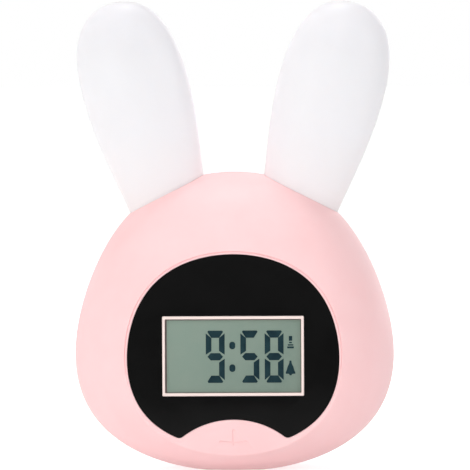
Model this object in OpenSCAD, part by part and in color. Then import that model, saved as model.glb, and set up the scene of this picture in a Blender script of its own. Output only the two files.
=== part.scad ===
// Kids alarm clock with night light: a rabbit's head that stands on its flat base.
// Millimetres. The origin is the middle of the base on the surface it stands on, +Z is up, and the face looks
// along -Y. The case parts at the plane y = 0. Left and right are as the viewer of the face sees them.

/* [Head] */
// Height of the head without its ears
head_h = 102.5; // [96:0.5:110]
// Half width of the head halfway up
head_half_w = 54; // [51:0.5:58]
// Half width that the head loses towards the crown and gains towards the base
head_taper = 9.7; // [8:0.1:11]
// Half width added towards crown and base alike, which squares the outline
head_fullness = 7.8; // [6:0.1:9]
// Half width moved from the base to the crown
crown_fullness = 3.4; // [2:0.1:4.5]
// How far the round underside is cut off flat
base_cut = 1; // [0.8:0.1:1.6]
// Thickness of the moulded case
wall = 2.2; // [2:0.1:2.6]
// Thickness of the floor over the base
base_wall = 3; // [2.6:0.1:4]
// Width of the soft edge round the flat face and the flat back
edge_soft = 0.5; // [0.3:0.1:0.6]
// Depth of the seam where the two halves of the case meet
seam = 0.25; // [0.2:0.05:0.4]

/* [Flat face] */
// Distance from the parting plane to the flat face
face_depth = 34; // [33:0.5:37]
// Half width of the flat face
face_half_w = 37.3; // [36.8:0.1:39]
// Half height of the flat face
face_half_h = 35.1; // [34.8:0.1:36]
// Height of the middle of the flat face
face_mid_z = 41.5; // [41:0.1:42]
// Half width that the flat face loses towards its top and gains towards its base
face_taper = 1.2; // [0.8:0.1:1.6]
// Extra half width that squares the flat face
face_fullness = 5; // [4.6:0.1:5.4]

/* [Flat back] */
// Distance from the parting plane to the flat back
back_depth = 33; // [32:0.5:38]
// Half width of the flat back
back_half_w = 43; // [42:0.5:45]
// Half height of the flat back
back_half_h = 39.5; // [38.5:0.5:41]
// Height of the middle of the flat back
back_mid_z = 46; // [45:0.5:47]
// Extra half width that squares the flat back
back_fullness = 4; // [3:0.5:5]

/* [Ears] */
// Length of an ear above the place where its axis meets the head
ear_len = 66.5; // [60:0.5:75]
// Half width of an ear at its root
ear_root_w = 12.9; // [12.5:0.1:13.6]
// Half depth of an ear at its root
ear_root_d = 10.4; // [9.5:0.1:11]
// Half width of an ear where it is widest
ear_wide_w = 18.6; // [17:0.1:20]
// Half depth of an ear where it is deepest
ear_wide_d = 12.8; // [12:0.1:14]
// Height along the ear's axis where it is widest
ear_wide_s = 36; // [33:0.5:39]
// Lean of each ear to its own side, in degrees
ear_lean = 15.4; // [13:0.1:18]
// Angle round the head's outline, from the crown, at which the ear's axis leaves the head
ear_seat_angle = 26.7; // [26:0.1:27.5]
// Wall of the milky shade
ear_wall = 1.6; // [1.2:0.1:2]
// Thickness of the rib in the case that the ear's groove grips
ear_rib_t = 2; // [1.6:0.1:2.4]
// Depth of that rib's top below the root of the ear
ear_rib_drop = 10; // [9.6:0.1:10.6]
// Thickness of the flange under the rib
ear_flange_t = 1.7; // [1.4:0.1:2.2]

/* [Face panel] */
// Gap between the edge of the flat face and the black panel, at its sides and its top
panel_margin = 0.9; // [0.8:0.05:1]
// The same gap under the chin, where the muzzle covers the panel's full outline
panel_chin = 2.6; // [2.2:0.1:3]
// Half width that the panel loses towards its top and gains towards its base
panel_taper = 1.9; // [1.6:0.1:2.2]
// Extra half width that squares the panel
panel_fullness = 5.5; // [5:0.1:5.8]
// Thickness of the black panel
panel_t = 1; // [0.8:0.1:1.1]
// Radius of the muzzle's round top
muzzle_r = 29; // [27:0.5:31]
// Height of the muzzle's top
muzzle_top_z = 18.6; // [17:0.1:19.5]
// Radius on the two lower tips of the panel
panel_tip_r = 2; // [1:0.1:2.4]
// Depth of the pressed-in mouth mark
mouth_depth = 0.4; // [0.3:0.1:0.8]
// Distance between the round ends of the mouth's curve
mouth_len = 8.7; // [7.6:0.1:9.6]
// Breadth of the mouth's curve
mouth_w = 1.3; // [1:0.1:1.6]
// Radius of the mouth's curve
mouth_r = 20; // [16:0.5:26]
// Height of the lowest place on the mouth's curve
mouth_z = 10.2; // [9.8:0.1:10.8]
// Breadth of the stem above the mouth's curve
mouth_stem_w = 1.2; // [1:0.1:1.5]
// Height of the top of that stem
mouth_stem_top_z = 15.3; // [14:0.1:16]

/* [Display] */
// Visible width of the display
view_w = 46.6; // [44:0.1:48]
// Visible height of the display
view_h = 25.4; // [24:0.1:27]
// Height of the middle of the display
view_mid_z = 40.7; // [40:0.1:41.5]
// Width of the raised rim round the display
rim_w = 1.05; // [0.9:0.05:1.3]
// Height of that rim above the panel
rim_proud = 0.4; // [0.2:0.1:0.8]
// Radius of the rim's outer corners
rim_corner_r = 0.6; // [0.4:0.1:1.2]
// Radius of the corners of the visible display
view_corner_r = 0.3; // [0.2:0.1:0.6]
// How far the glass reaches past the visible width on each side
glass_side = 2.7; // [2.4:0.1:3]
// How far the glass reaches past the visible height, where its contacts are
glass_ledge = 2.9; // [2.8:0.1:3.1]
// Thickness of the display glass that seats behind the case
glass_t = 1.5; // [1.3:0.1:1.7]
// How far the smaller front sheet of the glass stands into the window
glass_front_t = 1.3; // [1:0.1:1.6]
// Thickness of the light guide behind the glass
backlight_t = 5.8; // [5.4:0.1:6.2]
// Wall of the holder round the glass
holder_wall = 1.6; // [1.2:0.1:1.7]
// Thickness of the rubber contact strips
strip_t = 1.8; // [1.5:0.1:2]

/* [Boards] */
// Thickness of the circuit boards
board_t = 1.6; // [1.2:0.1:1.6]
// Width of the main board
main_board_w = 61; // [60:0.5:61.5]
// Height of the main board
main_board_h = 49; // [48.5:0.5:50]
// Distance from the main board's edge to the middle of a fixing hole
board_hole_inset = 3.5; // [3.4:0.1:3.7]
// Thread radius of the small board screws
board_screw_r = 0.9; // [0.8:0.05:1]
// Length of the small board screws under the head
board_screw_len = 6; // [5:0.5:6.5]

/* [Rear buttons] */
// Radius of a button
button_r = 3.8; // [3.4:0.1:4]
// How far a button stands out of the back
button_proud = 1.4; // [1.2:0.1:2]
// Travel of a button
button_travel = 0.6; // [0.3:0.1:0.8]
// Distance between neighbouring buttons
button_pitch = 11; // [10.8:0.1:11.3]
// Height of the row of buttons
button_z = 57.5; // [57.2:0.1:58.2]
// Running clearance round buttons, plungers and knobs
run_gap = 0.1; // [0.06:0.01:0.12]
// Travel of the slide switch
switch_travel = 3; // [2:0.5:3.5]

/* [Battery bay] */
// Radius of a cell
cell_r = 5.25; // [5:0.05:5.3]
// Length of a cell with its nub
cell_len = 44.5; // [43:0.5:45]
// Length of a pressed battery spring
spring_len = 5.7; // [5:0.1:6.5]
// Height of the middle of the battery bay
bay_mid_z = 32.3; // [32:0.1:32.5]
// Wall of the battery bay
bay_wall = 1.5; // [1.2:0.1:1.7]
// Ledge on which the battery door rests
door_ledge = 1.5; // [1.3:0.1:1.6]
// Thickness of the battery door
door_t = 2; // [1.6:0.1:2.2]

/* [Speaker] */
// Radius of the speaker
speaker_r = 9.5; // [8.6:0.1:9.6]
// Depth of the speaker's basket
speaker_depth = 4; // [3:0.1:4.2]
// Height of the middle of the speaker
speaker_z = 73.4; // [73:0.1:73.5]
// Radius of a grille hole
grille_r = 0.9; // [0.6:0.05:1]
// Distance between grille holes
grille_pitch = 3.1; // [2.8:0.1:3.3]

/* [Fastening and feet] */
// Radius of the case screws' thread
case_screw_r = 1.25; // [1.1:0.05:1.4]
// Radius of the case screws' head
case_head_r = 2.7; // [2.4:0.1:2.9]
// Depth of a foot
foot_t = 1.2; // [1:0.1:1.4]
// How far a foot stands out of the base
foot_proud = 0.2; // [0.1:0.1:0.4]
// Radius of a foot
foot_r = 3.2; // [2.8:0.1:3.2]
// Distance of a foot from the middle of the base, along X and along Y
foot_off = 7.4; // [6.5:0.1:7.5]

/* [Hidden] */

$fn = 48;
eps = 0.01;
big = 200;
fit_gap = 0.1;
head_colour = [1, 0.83, 0.83];
ear_colour = [0.97, 0.96, 0.98];
board_colour = [0.1, 0.4, 0.22];
steel = [0.78, 0.79, 0.8];
black = [0.08, 0.08, 0.09];

// Segments of the lofted forms, outside and inside
head_sides = 48;
cavity_sides = 36;
head_rings = 8;
cavity_rings = 6;
ear_sides = 28;

// The head's outline runs from the crown to the underside, which lies below the flat base
head_top_z = head_h;
head_low_z = -base_cut;
head_mid_z = (head_top_z + head_low_z) / 2;
head_half_h = (head_top_z - head_low_z) / 2;
base_z = foot_proud;
floor_z = base_z + base_wall;

// How far round a quarter circle the front and the back run before they are cut flat
front_turn = 47.5;
back_turn = 39;
// The last part of that turn, which the soft edge takes
edge_soft_turn = 1.2;

face_y = -face_depth;
face_inner_y = face_y + wall;
panel_half_h = face_half_h - (panel_margin + panel_chin) / 2;
panel_mid_z = face_mid_z + (panel_chin - panel_margin) / 2;
back_y = back_depth;
back_inner_y = back_y - wall;

function lerp(a, b, t) = a + (b - a) * t;
function bezier(a, b, c, d, t) =
    a * pow(1 - t, 3) + 3 * b * pow(1 - t, 2) * t + 3 * c * (1 - t) * t * t + d * pow(t, 3);

// Outlines in the plane of X and Z, by the angle from the crown
function head_point(a) = [
    sin(a) * (head_half_w - head_taper * cos(a) + head_fullness * pow(cos(a), 2)
        + crown_fullness * pow(cos(a), 3)),
    head_mid_z + head_half_h * cos(a)
];
function face_point(a) = [
    sin(a) * (face_half_w - face_taper * cos(a) + face_fullness * pow(cos(a), 2)),
    face_mid_z + face_half_h * cos(a)
];
function panel_point(a) = [
    sin(a) * (face_half_w - panel_margin - panel_taper * cos(a) + panel_fullness * pow(cos(a), 2)),
    panel_mid_z + panel_half_h * cos(a)
];
function back_point(a) = [
    sin(a) * (back_half_w + back_fullness * pow(cos(a), 2)),
    back_mid_z + back_half_h * cos(a)
];
function half_point(a, blend, front) = lerp(head_point(a), front ? face_point(a) : back_point(a), blend);

// One closed ring of half the head: turn runs from 0 at the parting plane to the flat end, inset is the depth
// under the outer skin, and shrink draws the ring in along its own plane
function half_ring(turn, inset, front, sides, shrink = 0) =
    let (
        last = front ? front_turn : back_turn,
        depth = (front ? face_depth : back_depth) - inset,
        y = (front ? -1 : 1) * depth * sin(turn) / sin(last),
        blend = (1 - cos(turn)) / (1 - cos(last))
    )
    [for (i = [0:sides - 1])
        let (a = i * 360 / sides, p = half_point(a, blend, front))
        [p.x - (inset + shrink) * sin(a), y, p.y - (inset + shrink) * cos(a)]];

// A closed solid through rings that have the same number of points
module skin(rings) {
    n = len(rings[0]);
    last = len(rings) - 1;
    points = [for (ring = rings) each ring];
    sides = [for (i = [0:last - 1], j = [0:n - 1])
        let (k = (j + 1) % n)
        each [[i * n + j, i * n + k, i * n + k + n], [i * n + j, i * n + k + n, i * n + j + n]]];
    start = [for (j = [n - 1:-1:0]) j];
    end = [for (j = [0:n - 1]) last * n + j];
    polyhedron(points, concat(sides, [start, end]), convexity = 8);
}

function backwards(list) = [for (i = [len(list) - 1:-1:0]) list[i]];

module half_head(front, inset, sides, rings) {
    last = front ? front_turn : back_turn;
    list = [for (i = [0:rings]) half_ring(last * i / rings, inset, front, sides)];
    skin(front ? list : backwards(list));
}

// The outer skin, drawn in at the seam and along the edge of its flat end
module half_skin(front) {
    last = front ? front_turn : back_turn;
    first = asin(seam * sin(last) / (front ? face_depth : back_depth));
    end = last - edge_soft_turn;
    list = concat(
        [half_ring(0, 0, front, head_sides, seam)],
        [for (i = [0:head_rings]) half_ring(lerp(first, end, i / head_rings), 0, front, head_sides)],
        [half_ring(last, 0, front, head_sides, edge_soft)]
    );
    skin(front ? list : backwards(list));
}

// A flat shape drawn in X and Z, carried from y0 to y1
module along_y(y0, y1) {
    translate([0, y1, 0])
        rotate([90, 0, 0])
            linear_extrude(y1 - y0) children();
}

module rod_y(x, z, r, y0, y1) {
    along_y(y0, y1) translate([x, z]) circle(r);
}

module block(x0, x1, y0, y1, z0, z1) {
    translate([x0, y0, z0]) cube([x1 - x0, y1 - y0, z1 - z0]);
}

module rounded(w, h, r) {
    square([w - 2 * r, h], center = true);
    square([w, h - 2 * r], center = true);
    for (x = [-1, 1], y = [-1, 1])
        translate([x * (w / 2 - r), y * (h / 2 - r)]) circle(r);
}

module outline(inset, sides = head_sides) {
    polygon([for (i = [0:sides - 1])
        let (a = i * 360 / sides, p = head_point(a))
        [p.x - inset * sin(a), p.y - inset * cos(a)]]);
}

// ---- Places that several pieces share ----
ear_seat = head_point(ear_seat_angle);
neck_top_s = -ear_rib_drop;
neck_low_s = neck_top_s - ear_rib_t;
light_board_w = 38;
light_board_h = 14;
light_board_t = 1.2;
light_board_r = 3;
light_post_x = 16.4;
light_post_r = 2.1;
light_post_y = 3;
light_screw_len = 4;
light_head_r = 1.7;
light_head_t = 1.2;
led_count = 3;
led_pitch = 6;
led_w = 3.5;
led_d = 2.8;
led_t = 1.2;
led_dome_r = 1.2;
led_dome_h = 0.7;
screw_clear = 0.2;

guide_gap = 0.5;
glass_w = view_w + 2 * glass_side;
glass_h = view_h + 2 * glass_ledge;
glass_y0 = face_inner_y;
glass_y1 = glass_y0 + glass_t;
main_board_y0 = glass_y1 + backlight_t;
main_board_y1 = main_board_y0 + board_t;
main_hole_x = main_board_w / 2 - board_hole_inset;
main_hole_z = main_board_h / 2 - board_hole_inset;
main_boss_r = 2.5;
main_board_r = 2;
board_head_r = 1.8;
board_head_t = 1.3;
cross_w = 0.5;
cross_depth = 0.6;

// What stands on the main board: the clock's chip under its round cap, a second chip, a crystal, a capacitor
// and a plug socket, each as its place on the board and its size
clock_chip = [-6, 2];
clock_chip_r = 6;
clock_chip_t = 1.4;
sound_chip = [13, 1];
sound_chip_w = 8;
sound_chip_h = 10;
sound_chip_t = 1.6;
crystal = [12, -12];
crystal_r = 1.5;
crystal_len = 8;
capacitor = [-16, -13];
capacitor_r = 3.1;
capacitor_len = 11;
plug_socket = [-4, 15.5];
plug_socket_w = 16;
plug_socket_h = 5;
plug_socket_t = 6;

case_posts = [[-30, 71], [30, 71], [-34.5, 26], [34.5, 26]];
case_head_gap = 0.3;
case_post_wall = 1.3;
case_post_r = case_head_r + case_head_gap + case_post_wall;
case_boss_r = 3.2;
case_head_y = 8;
case_head_t = 2;
case_cross_len = 3.4;
case_cross_w = 0.8;
case_cross_depth = 1;
case_screw_reach = 8;
case_boss_len = case_screw_reach + 3;
web_len = 20;
web_t = 1.6;

button_count = 5;
button_first_x = -28;
function button_x(i) = button_first_x + i * button_pitch;
button_flange_r = button_r + 0.8;
button_flange_t = 1;
button_edge_r = 0.7;
button_under_y = back_inner_y - button_flange_t;
tact_size = 6;
tact_h = 3.5;
tact_gap = 1.5;
plunger_r = 1.7;
plunger_sink = 0.8;
tact_spare = 0.4;
tact_top_y = button_under_y - tact_gap;
button_board_y1 = tact_top_y - tact_h;
button_board_y0 = button_board_y1 - board_t;
button_board_x0 = -34;
button_board_x1 = 35;
button_board_low = 4.2;
button_board_high = 9;
button_board_posts = [-11.6, 22.4];
button_post_z = button_z + 5.8;
button_post_r = 2.1;

switch_x = 29;
knob_half_w = 1.6;
knob_half_h = 1.6;
switch_can_w = 12;
switch_can_h = 6;
switch_can_t = 4;
switch_foot_t = 1;
switch_slot_gap = 0.15;
knob_proud = 1;
knob_ridge_h = 0.3;
knob_ridge_w = 0.4;
knob_ridge_pitch = 1;

bay_half_w = (cell_len + spring_len) / 2 + 0.4;
cell_pitch = 2 * cell_r + 0.7;
bay_half_h = 1.5 * cell_pitch + 0.2;
door_half_w = bay_half_w + door_ledge;
door_half_h = bay_half_h + door_ledge;
door_gap = 0.2;
door_r = 4;
door_inner_y = back_y - door_t;
bay_depth = 2 * cell_r + 1.5;
bay_floor_y = door_inner_y - bay_depth;
cell_y = bay_floor_y + cell_r + 0.1;
contact_t = 0.4;
contact_half_w = 4.5;
cell_nub_h = 0.8;
cell_nub_r = 1.9;
spring_wide_r = 3.8;
spring_tip_r = 2.2;
door_tab_r = 4;
door_screw_x = door_half_w + 2.8;
door_screw_z = bay_mid_z + 4;
door_boss_r = 2.6;
door_rim_t = 1.1;
door_rim_h = 1;
door_screw_r = 1.1;
door_screw_len = 7;
door_head_r = 2.1;
door_head_t = 1;
door_head_gap = 0.3;
door_head_sink = 1.1;
door_cross_len = 2.8;
door_cross_depth = 0.5;
grip_w = 14;
grip_pitch = 1.8;
grip_groove_w = 0.8;
grip_depth = 0.5;
grip_z = bay_mid_z - bay_half_h + 5;

speaker_cup_t = 1.2;
speaker_edge = 1.6;
speaker_bowl_t = 1.2;
speaker_bowl_inset = 2;
speaker_bowl_depth = 0.8;
magnet_r = 5;
magnet_t = 1.5;
cone_t = 0.75;
cone_gap = 0.1;
gasket_t = 0.8;
speaker_top_y = back_inner_y - gasket_t;
grille_margin = 3;

socket_from_edge = 7.8;
socket_x = socket_from_edge - back_half_w;
socket_z = 43;
socket_w = 7.6;
socket_h = 2.8;
socket_depth = 6;
socket_recess = 0.6;
socket_gap = 0.3;
socket_lip = 0.4;
socket_floor = 1;
socket_tongue_w = 4.6;
socket_tongue_h = 0.7;
socket_mid_z = socket_z + socket_h / 2;
charge_board_w = 10;
charge_board_len = 12;
shelf_t = 1.4;
shelf_reach = 12;

touch_r = 6.5;
touch_y = 9;
touch_z = head_h - 7;
touch_t = 1;
touch_edge = 0.5;

lip_t = 1;
lip_h = 1.6;
lip_from_z = 8;

// ---- Ears ----
// Where the shade starts to widen, measured from the ear's root, and how far its curve eases in and out
ear_foot_s = -8.8;
ear_foot_ease = 15.8;
ear_wide_ease = 15;
ear_root_flare_w = 2.5;
ear_root_flare_d = 0.4;
// Half width, half depth and height of the shade at a point of its lower or upper curve
function ear_low(t, inset) = [
    bezier(ear_root_w, ear_root_w + ear_root_flare_w, ear_wide_w, ear_wide_w, t) - inset,
    bezier(ear_root_d, ear_root_d + ear_root_flare_d, ear_wide_d, ear_wide_d, t) - inset,
    bezier(ear_foot_s, ear_foot_s + ear_foot_ease, ear_wide_s - ear_wide_ease, ear_wide_s, t)
];
function ear_high(t, inset) = [
    bezier(ear_wide_w - inset, ear_wide_w - inset, (ear_wide_w - inset) * 0.69, 0, t),
    bezier(ear_wide_d - inset, ear_wide_d - inset, (ear_wide_d - inset) * 0.69, 0, t),
    bezier(ear_wide_s, lerp(ear_wide_s, ear_len - inset, 0.615), ear_len - inset, ear_len - inset, t)
];
function ear_ring(section) =
    [for (i = [0:ear_sides - 1])
        let (a = i * 360 / ear_sides)
        [section[0] * cos(a), section[1] * sin(a), section[2]]];

module ear_frame(side) {
    translate([side * ear_seat.x, 0, ear_seat.y])
        rotate([0, side * ear_lean, 0]) children();
}

neck_inset = 1.5;
bore_inset = neck_inset + ear_wall;
// The rib's plate reaches the case all round the neck
ear_rib_reach_w = 12;
ear_rib_reach_d = 10.6;
ear_rib_half_w = ear_root_w + ear_rib_reach_w;
ear_rib_half_d = ear_root_d + ear_rib_reach_d;

module ear(side) {
    low = [0, 0.2, 0.4, 0.6, 0.8, 1];
    high = [0.16, 0.32, 0.47, 0.61, 0.74, 0.86, 0.965];
    inner_low = [0, 0.35, 0.7, 1];
    inner_high = [0.2, 0.4, 0.6, 0.78, 0.94];
    outside = concat(
        [for (t = backwards(high)) ear_high(t, 0)],
        [for (t = backwards(low)) ear_low(t, 0)],
        [[ear_root_w, ear_root_d, neck_top_s + fit_gap],
         [ear_root_w - neck_inset, ear_root_d - neck_inset, neck_top_s + fit_gap],
         [ear_root_w - neck_inset, ear_root_d - neck_inset, neck_low_s - fit_gap],
         [ear_root_w, ear_root_d, neck_low_s - fit_gap],
         [ear_root_w, ear_root_d, neck_low_s - fit_gap - ear_flange_t]]
    );
    inside = concat(
        [[ear_root_w - bore_inset, ear_root_d - bore_inset, neck_low_s - fit_gap - ear_flange_t],
         [ear_root_w - bore_inset, ear_root_d - bore_inset, neck_top_s + fit_gap + ear_wall]],
        [for (t = inner_low) ear_low(t, ear_wall)],
        [for (t = inner_high) ear_high(t, ear_wall)]
    );
    color(ear_colour)
        ear_frame(side)
            skin([for (section = concat(outside, inside)) ear_ring(section)]);
}

// The hole in the case that the shade passes through, which widens as the shade does
module ear_opening(side) {
    sections = concat(
        [for (t = [0.6, 0.4, 0.2, 0]) ear_low(t, -fit_gap)],
        [[ear_root_w + fit_gap, ear_root_d + fit_gap, neck_top_s]]
    );
    ear_frame(side) skin([for (section = sections) ear_ring(section)]);
}

// The rib that sits in the ear's groove
module ear_rib(side) {
    ear_frame(side)
        translate([0, 0, neck_low_s])
            difference() {
                translate([-ear_rib_half_w, -ear_rib_half_d, 0])
                    cube([2 * ear_rib_half_w, 2 * ear_rib_half_d, ear_rib_t]);
                translate([0, 0, -eps])
                    linear_extrude(ear_rib_t + 2 * eps)
                        polygon([for (i = [0:ear_sides - 1])
                            let (a = i * 360 / ear_sides)
                            [(ear_root_w - neck_inset + fit_gap) * cos(a),
                             (ear_root_d - neck_inset + fit_gap) * sin(a)]]);
            }
}

module light_posts(side, r, from_s, to_s) {
    ear_frame(side)
        for (x = [-1, 1])
            translate([x * light_post_x, light_post_y, from_s])
                cylinder(h = to_s - from_s, r = r);
}

light_board_s1 = neck_low_s - fit_gap - ear_flange_t;
light_board_s0 = light_board_s1 - light_board_t;

module light_board(side) {
    color("white")
        difference() {
            ear_frame(side)
                translate([0, 0, light_board_s0])
                    linear_extrude(light_board_t) rounded(light_board_w, light_board_h, light_board_r);
            light_posts(side, board_screw_r + screw_clear, light_board_s0 - eps, light_board_s1 + eps);
        }
}

module leds(side) {
    color([1, 0.95, 0.7])
        ear_frame(side)
            for (i = [0:led_count - 1])
                translate([(i - (led_count - 1) / 2) * led_pitch, 0, light_board_s1]) {
                    translate([-led_w / 2, -led_d / 2, 0]) cube([led_w, led_d, led_t]);
                    translate([0, 0, led_t])
                        cylinder(h = led_dome_h, r1 = led_dome_r, r2 = led_dome_r * 2 / 3);
                }
}

module light_screws(side) {
    color(steel)
        ear_frame(side)
            for (x = [-1, 1])
                translate([x * light_post_x, light_post_y, light_board_s0]) {
                    translate([0, 0, -light_head_t]) cylinder(h = light_head_t, r = light_head_r);
                    cylinder(h = light_screw_len, r = board_screw_r);
                }
}

// ---- Front shell ----
module muzzle_cut() {
    translate([0, muzzle_top_z - muzzle_r]) circle(muzzle_r, $fn = 96);
}

module panel_shape(grow) {
    sides = 72;
    offset(r = panel_tip_r + grow, $fn = 24)
        offset(delta = -panel_tip_r)
            difference() {
                polygon([for (i = [0:sides - 1]) panel_point(i * 360 / sides)]);
                muzzle_cut();
            }
}

module rim_shape(grow) {
    translate([0, view_mid_z])
        rounded(view_w + 2 * rim_w + 2 * grow, view_h + 2 * rim_w + 2 * grow, rim_corner_r + grow);
}

module view_shape(grow) {
    translate([0, view_mid_z]) rounded(view_w + 2 * grow, view_h + 2 * grow, view_corner_r + grow);
}

// The mark is an upright stem that stands on a shallow curve with round ends
module mouth_shape() {
    half_turn = asin(mouth_len / 2 / mouth_r);
    wedge_h = mouth_r + mouth_w;
    stem_round_z = mouth_stem_top_z - mouth_stem_w / 2;
    translate([0, mouth_z + mouth_r]) {
        intersection() {
            difference() {
                circle(mouth_r + mouth_w / 2, $fn = 96);
                circle(mouth_r - mouth_w / 2, $fn = 96);
            }
            polygon([[0, 0], [-wedge_h * tan(half_turn), -wedge_h], [wedge_h * tan(half_turn), -wedge_h]]);
        }
        for (side = [-1, 1])
            rotate(side * half_turn) translate([0, -mouth_r]) circle(mouth_w / 2 - eps);
    }
    translate([0, stem_round_z]) circle(mouth_stem_w / 2);
    translate([-mouth_stem_w / 2, mouth_z]) square([mouth_stem_w, stem_round_z - mouth_z]);
}

module main_board_holes() {
    for (x = [-1, 1], z = [-1, 1])
        translate([x * main_hole_x, view_mid_z + z * main_hole_z]) children();
}

module front_shell() {
    color(head_colour)
        difference() {
            union() {
                half_skin(true);
                along_y(face_y - rim_proud, face_y + wall / 2) rim_shape(0);
            }
            block(-big, big, -big, big, -big, base_z);
            difference() {
                half_head(true, wall, cavity_sides, cavity_rings);
                block(-big, big, -big, big, -big, floor_z);
                for (p = case_posts)
                    rod_y(p.x, p.y, case_boss_r, -case_boss_len, eps);
                for (p = case_posts)
                    front_boss_web(p);
                along_y(face_inner_y - 1, main_board_y0) main_board_holes() circle(main_boss_r);
                for (side = [-1, 1]) ear_rib(side);
            }
            intersection() {
                along_y(-lip_h - fit_gap, eps) outline(wall - lip_t - fit_gap);
                block(-big, big, -big, big, lip_from_z, big);
            }
            for (side = [-1, 1]) ear_opening(side);
            difference() {
                along_y(face_y - 1, face_y + panel_t) panel_shape(fit_gap);
                along_y(face_y - 2, face_y + wall) rim_shape(0);
            }
            along_y(face_y - 2, face_inner_y + 1) view_shape(0);
            along_y(face_y - 1, face_y + mouth_depth) mouth_shape();
            along_y(main_board_y0 - board_screw_len, main_board_y0 + eps)
                main_board_holes() circle(board_screw_r);
            for (p = case_posts)
                rod_y(p.x, p.y, case_screw_r, -case_screw_reach - 1, 1);
            foot_pockets();
        }
}

// A web that ties a case boss to the side of the shell
module front_boss_web(p) {
    side = p.x > 0 ? 1 : -1;
    x = p.x + side * case_boss_r / 2;
    block(min(x, x + side * web_len), max(x, x + side * web_len), -case_boss_len, eps,
        p.y - web_t / 2, p.y + web_t / 2);
}

// ---- Face panel and display ----
module face_panel() {
    color(black)
        difference() {
            along_y(face_y, face_y + panel_t) panel_shape(0);
            along_y(face_y - 1, face_y + panel_t + 1) rim_shape(fit_gap);
        }
}

module lcd_glass() {
    color([0.55, 0.61, 0.56]) {
        along_y(glass_y0, glass_y1)
            translate([0, view_mid_z]) square([glass_w, glass_h], center = true);
        along_y(glass_y0 - glass_front_t, glass_y0) view_shape(-fit_gap);
    }
}

module lcd_backlight() {
    color("ghostwhite")
        along_y(glass_y1, main_board_y0)
            translate([0, view_mid_z])
                square([glass_w - 2 * guide_gap, glass_h - 2 * (strip_t + guide_gap)], center = true);
}

module lcd_holder() {
    color([0.15, 0.15, 0.16])
        along_y(glass_y0, main_board_y0)
            translate([0, view_mid_z])
                difference() {
                    square([glass_w + 2 * holder_wall, glass_h + 2 * holder_wall], center = true);
                    square([glass_w + 2 * fit_gap, glass_h + 2 * fit_gap], center = true);
                }
}

module contact_strips() {
    color([0.2, 0.2, 0.22])
        for (z = [-1, 1])
            along_y(glass_y1, main_board_y0)
                translate([0, view_mid_z + z * (glass_h - strip_t) / 2])
                    square([view_w, strip_t], center = true);
}

module main_board() {
    color(board_colour)
        along_y(main_board_y0, main_board_y1)
            difference() {
                translate([0, view_mid_z]) rounded(main_board_w, main_board_h, main_board_r);
                main_board_holes() circle(board_screw_r + screw_clear);
            }
}

module on_main_board(place, t) {
    along_y(main_board_y1, main_board_y1 + t)
        translate([place.x, view_mid_z + place.y]) children();
}

module main_board_chips() {
    color(black) {
        on_main_board(clock_chip, clock_chip_t) circle(clock_chip_r);
        on_main_board(sound_chip, sound_chip_t) square([sound_chip_w, sound_chip_h], center = true);
    }
    color(steel) {
        on_main_board(crystal, crystal_len) circle(crystal_r);
        on_main_board(capacitor, capacitor_len) circle(capacitor_r);
    }
    color("white")
        on_main_board(plug_socket, plug_socket_t) square([plug_socket_w, plug_socket_h], center = true);
}

module main_board_screws() {
    color(steel)
        main_screw_places() board_screw();
}

module main_screw_places() {
    for (x = [-1, 1], z = [-1, 1])
        translate([x * main_hole_x, main_board_y1, view_mid_z + z * main_hole_z])
            rotate([90, 0, 0]) children();
}

// A pan-head screw that points along +Z from the underside of its head
module board_screw() {
    translate([0, 0, -board_head_t])
        difference() {
            cylinder(h = board_head_t, r = board_head_r);
            cross_recess(board_head_r * 4 / 3, cross_w, cross_depth);
        }
    cylinder(h = board_screw_len, r = board_screw_r);
}

// A cross for the driver, sunk upwards from the plane Z = 0
module cross_recess(len, w, depth) {
    for (turn = [0, 90])
        rotate(turn) translate([-len / 2, -w / 2, -eps]) cube([len, w, depth + eps]);
}

// ---- Rear shell ----
module bay_box(grow, y0, y1) {
    block(-bay_half_w - grow, bay_half_w + grow, y0, y1,
        bay_mid_z - bay_half_h - grow, bay_mid_z + bay_half_h + grow);
}

module grille_holes() {
    for (i = [-3:3], j = [-3:3]) {
        x = grille_pitch * (i + j / 2);
        z = grille_pitch * j * sqrt(3) / 2;
        if (norm([x, z]) < speaker_r - grille_margin)
            rod_y(x, speaker_z + z, grille_r, back_inner_y - 1, back_y + 1);
    }
}

module switch_slot(y0, y1, gap) {
    half_w = knob_half_w + switch_travel / 2 + gap;
    half_h = knob_half_h + gap;
    block(switch_x - half_w, switch_x + half_w, y0, y1, button_z - half_h, button_z + half_h);
}

module rear_insides() {
    bay_box(bay_wall + door_ledge, bay_floor_y - bay_wall, back_y);
    rod_y(door_screw_x, door_screw_z, door_boss_r, door_inner_y - door_screw_len, back_y);
    for (p = case_posts) rod_y(p.x, p.y, case_post_r, 0, back_y);
    for (p = case_posts) rear_post_web(p);
    for (x = button_board_posts) rod_y(x, button_post_z, button_post_r, button_board_y1, back_y);
    difference() {
        rod_y(0, speaker_z, speaker_r + fit_gap + speaker_cup_t, speaker_top_y - speaker_depth, back_y);
        rod_y(0, speaker_z, speaker_r + fit_gap, -big, big);
    }
    block(socket_x - shelf_reach, -bay_half_w, back_inner_y - charge_board_len, back_y,
        charge_board_z0 - shelf_t, charge_board_z0);
    for (side = [-1, 1]) {
        ear_rib(side);
        light_posts(side, light_post_r, light_board_s1, neck_low_s + eps);
    }
    translate([0, touch_y, touch_z]) cylinder(h = head_h - touch_z, r = touch_r);
}

module rear_post_web(p) {
    side = p.x > 0 ? 1 : -1;
    block(min(p.x, p.x + side * web_len), max(p.x, p.x + side * web_len), 0, back_y,
        p.y - web_t / 2, p.y + web_t / 2);
}

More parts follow.
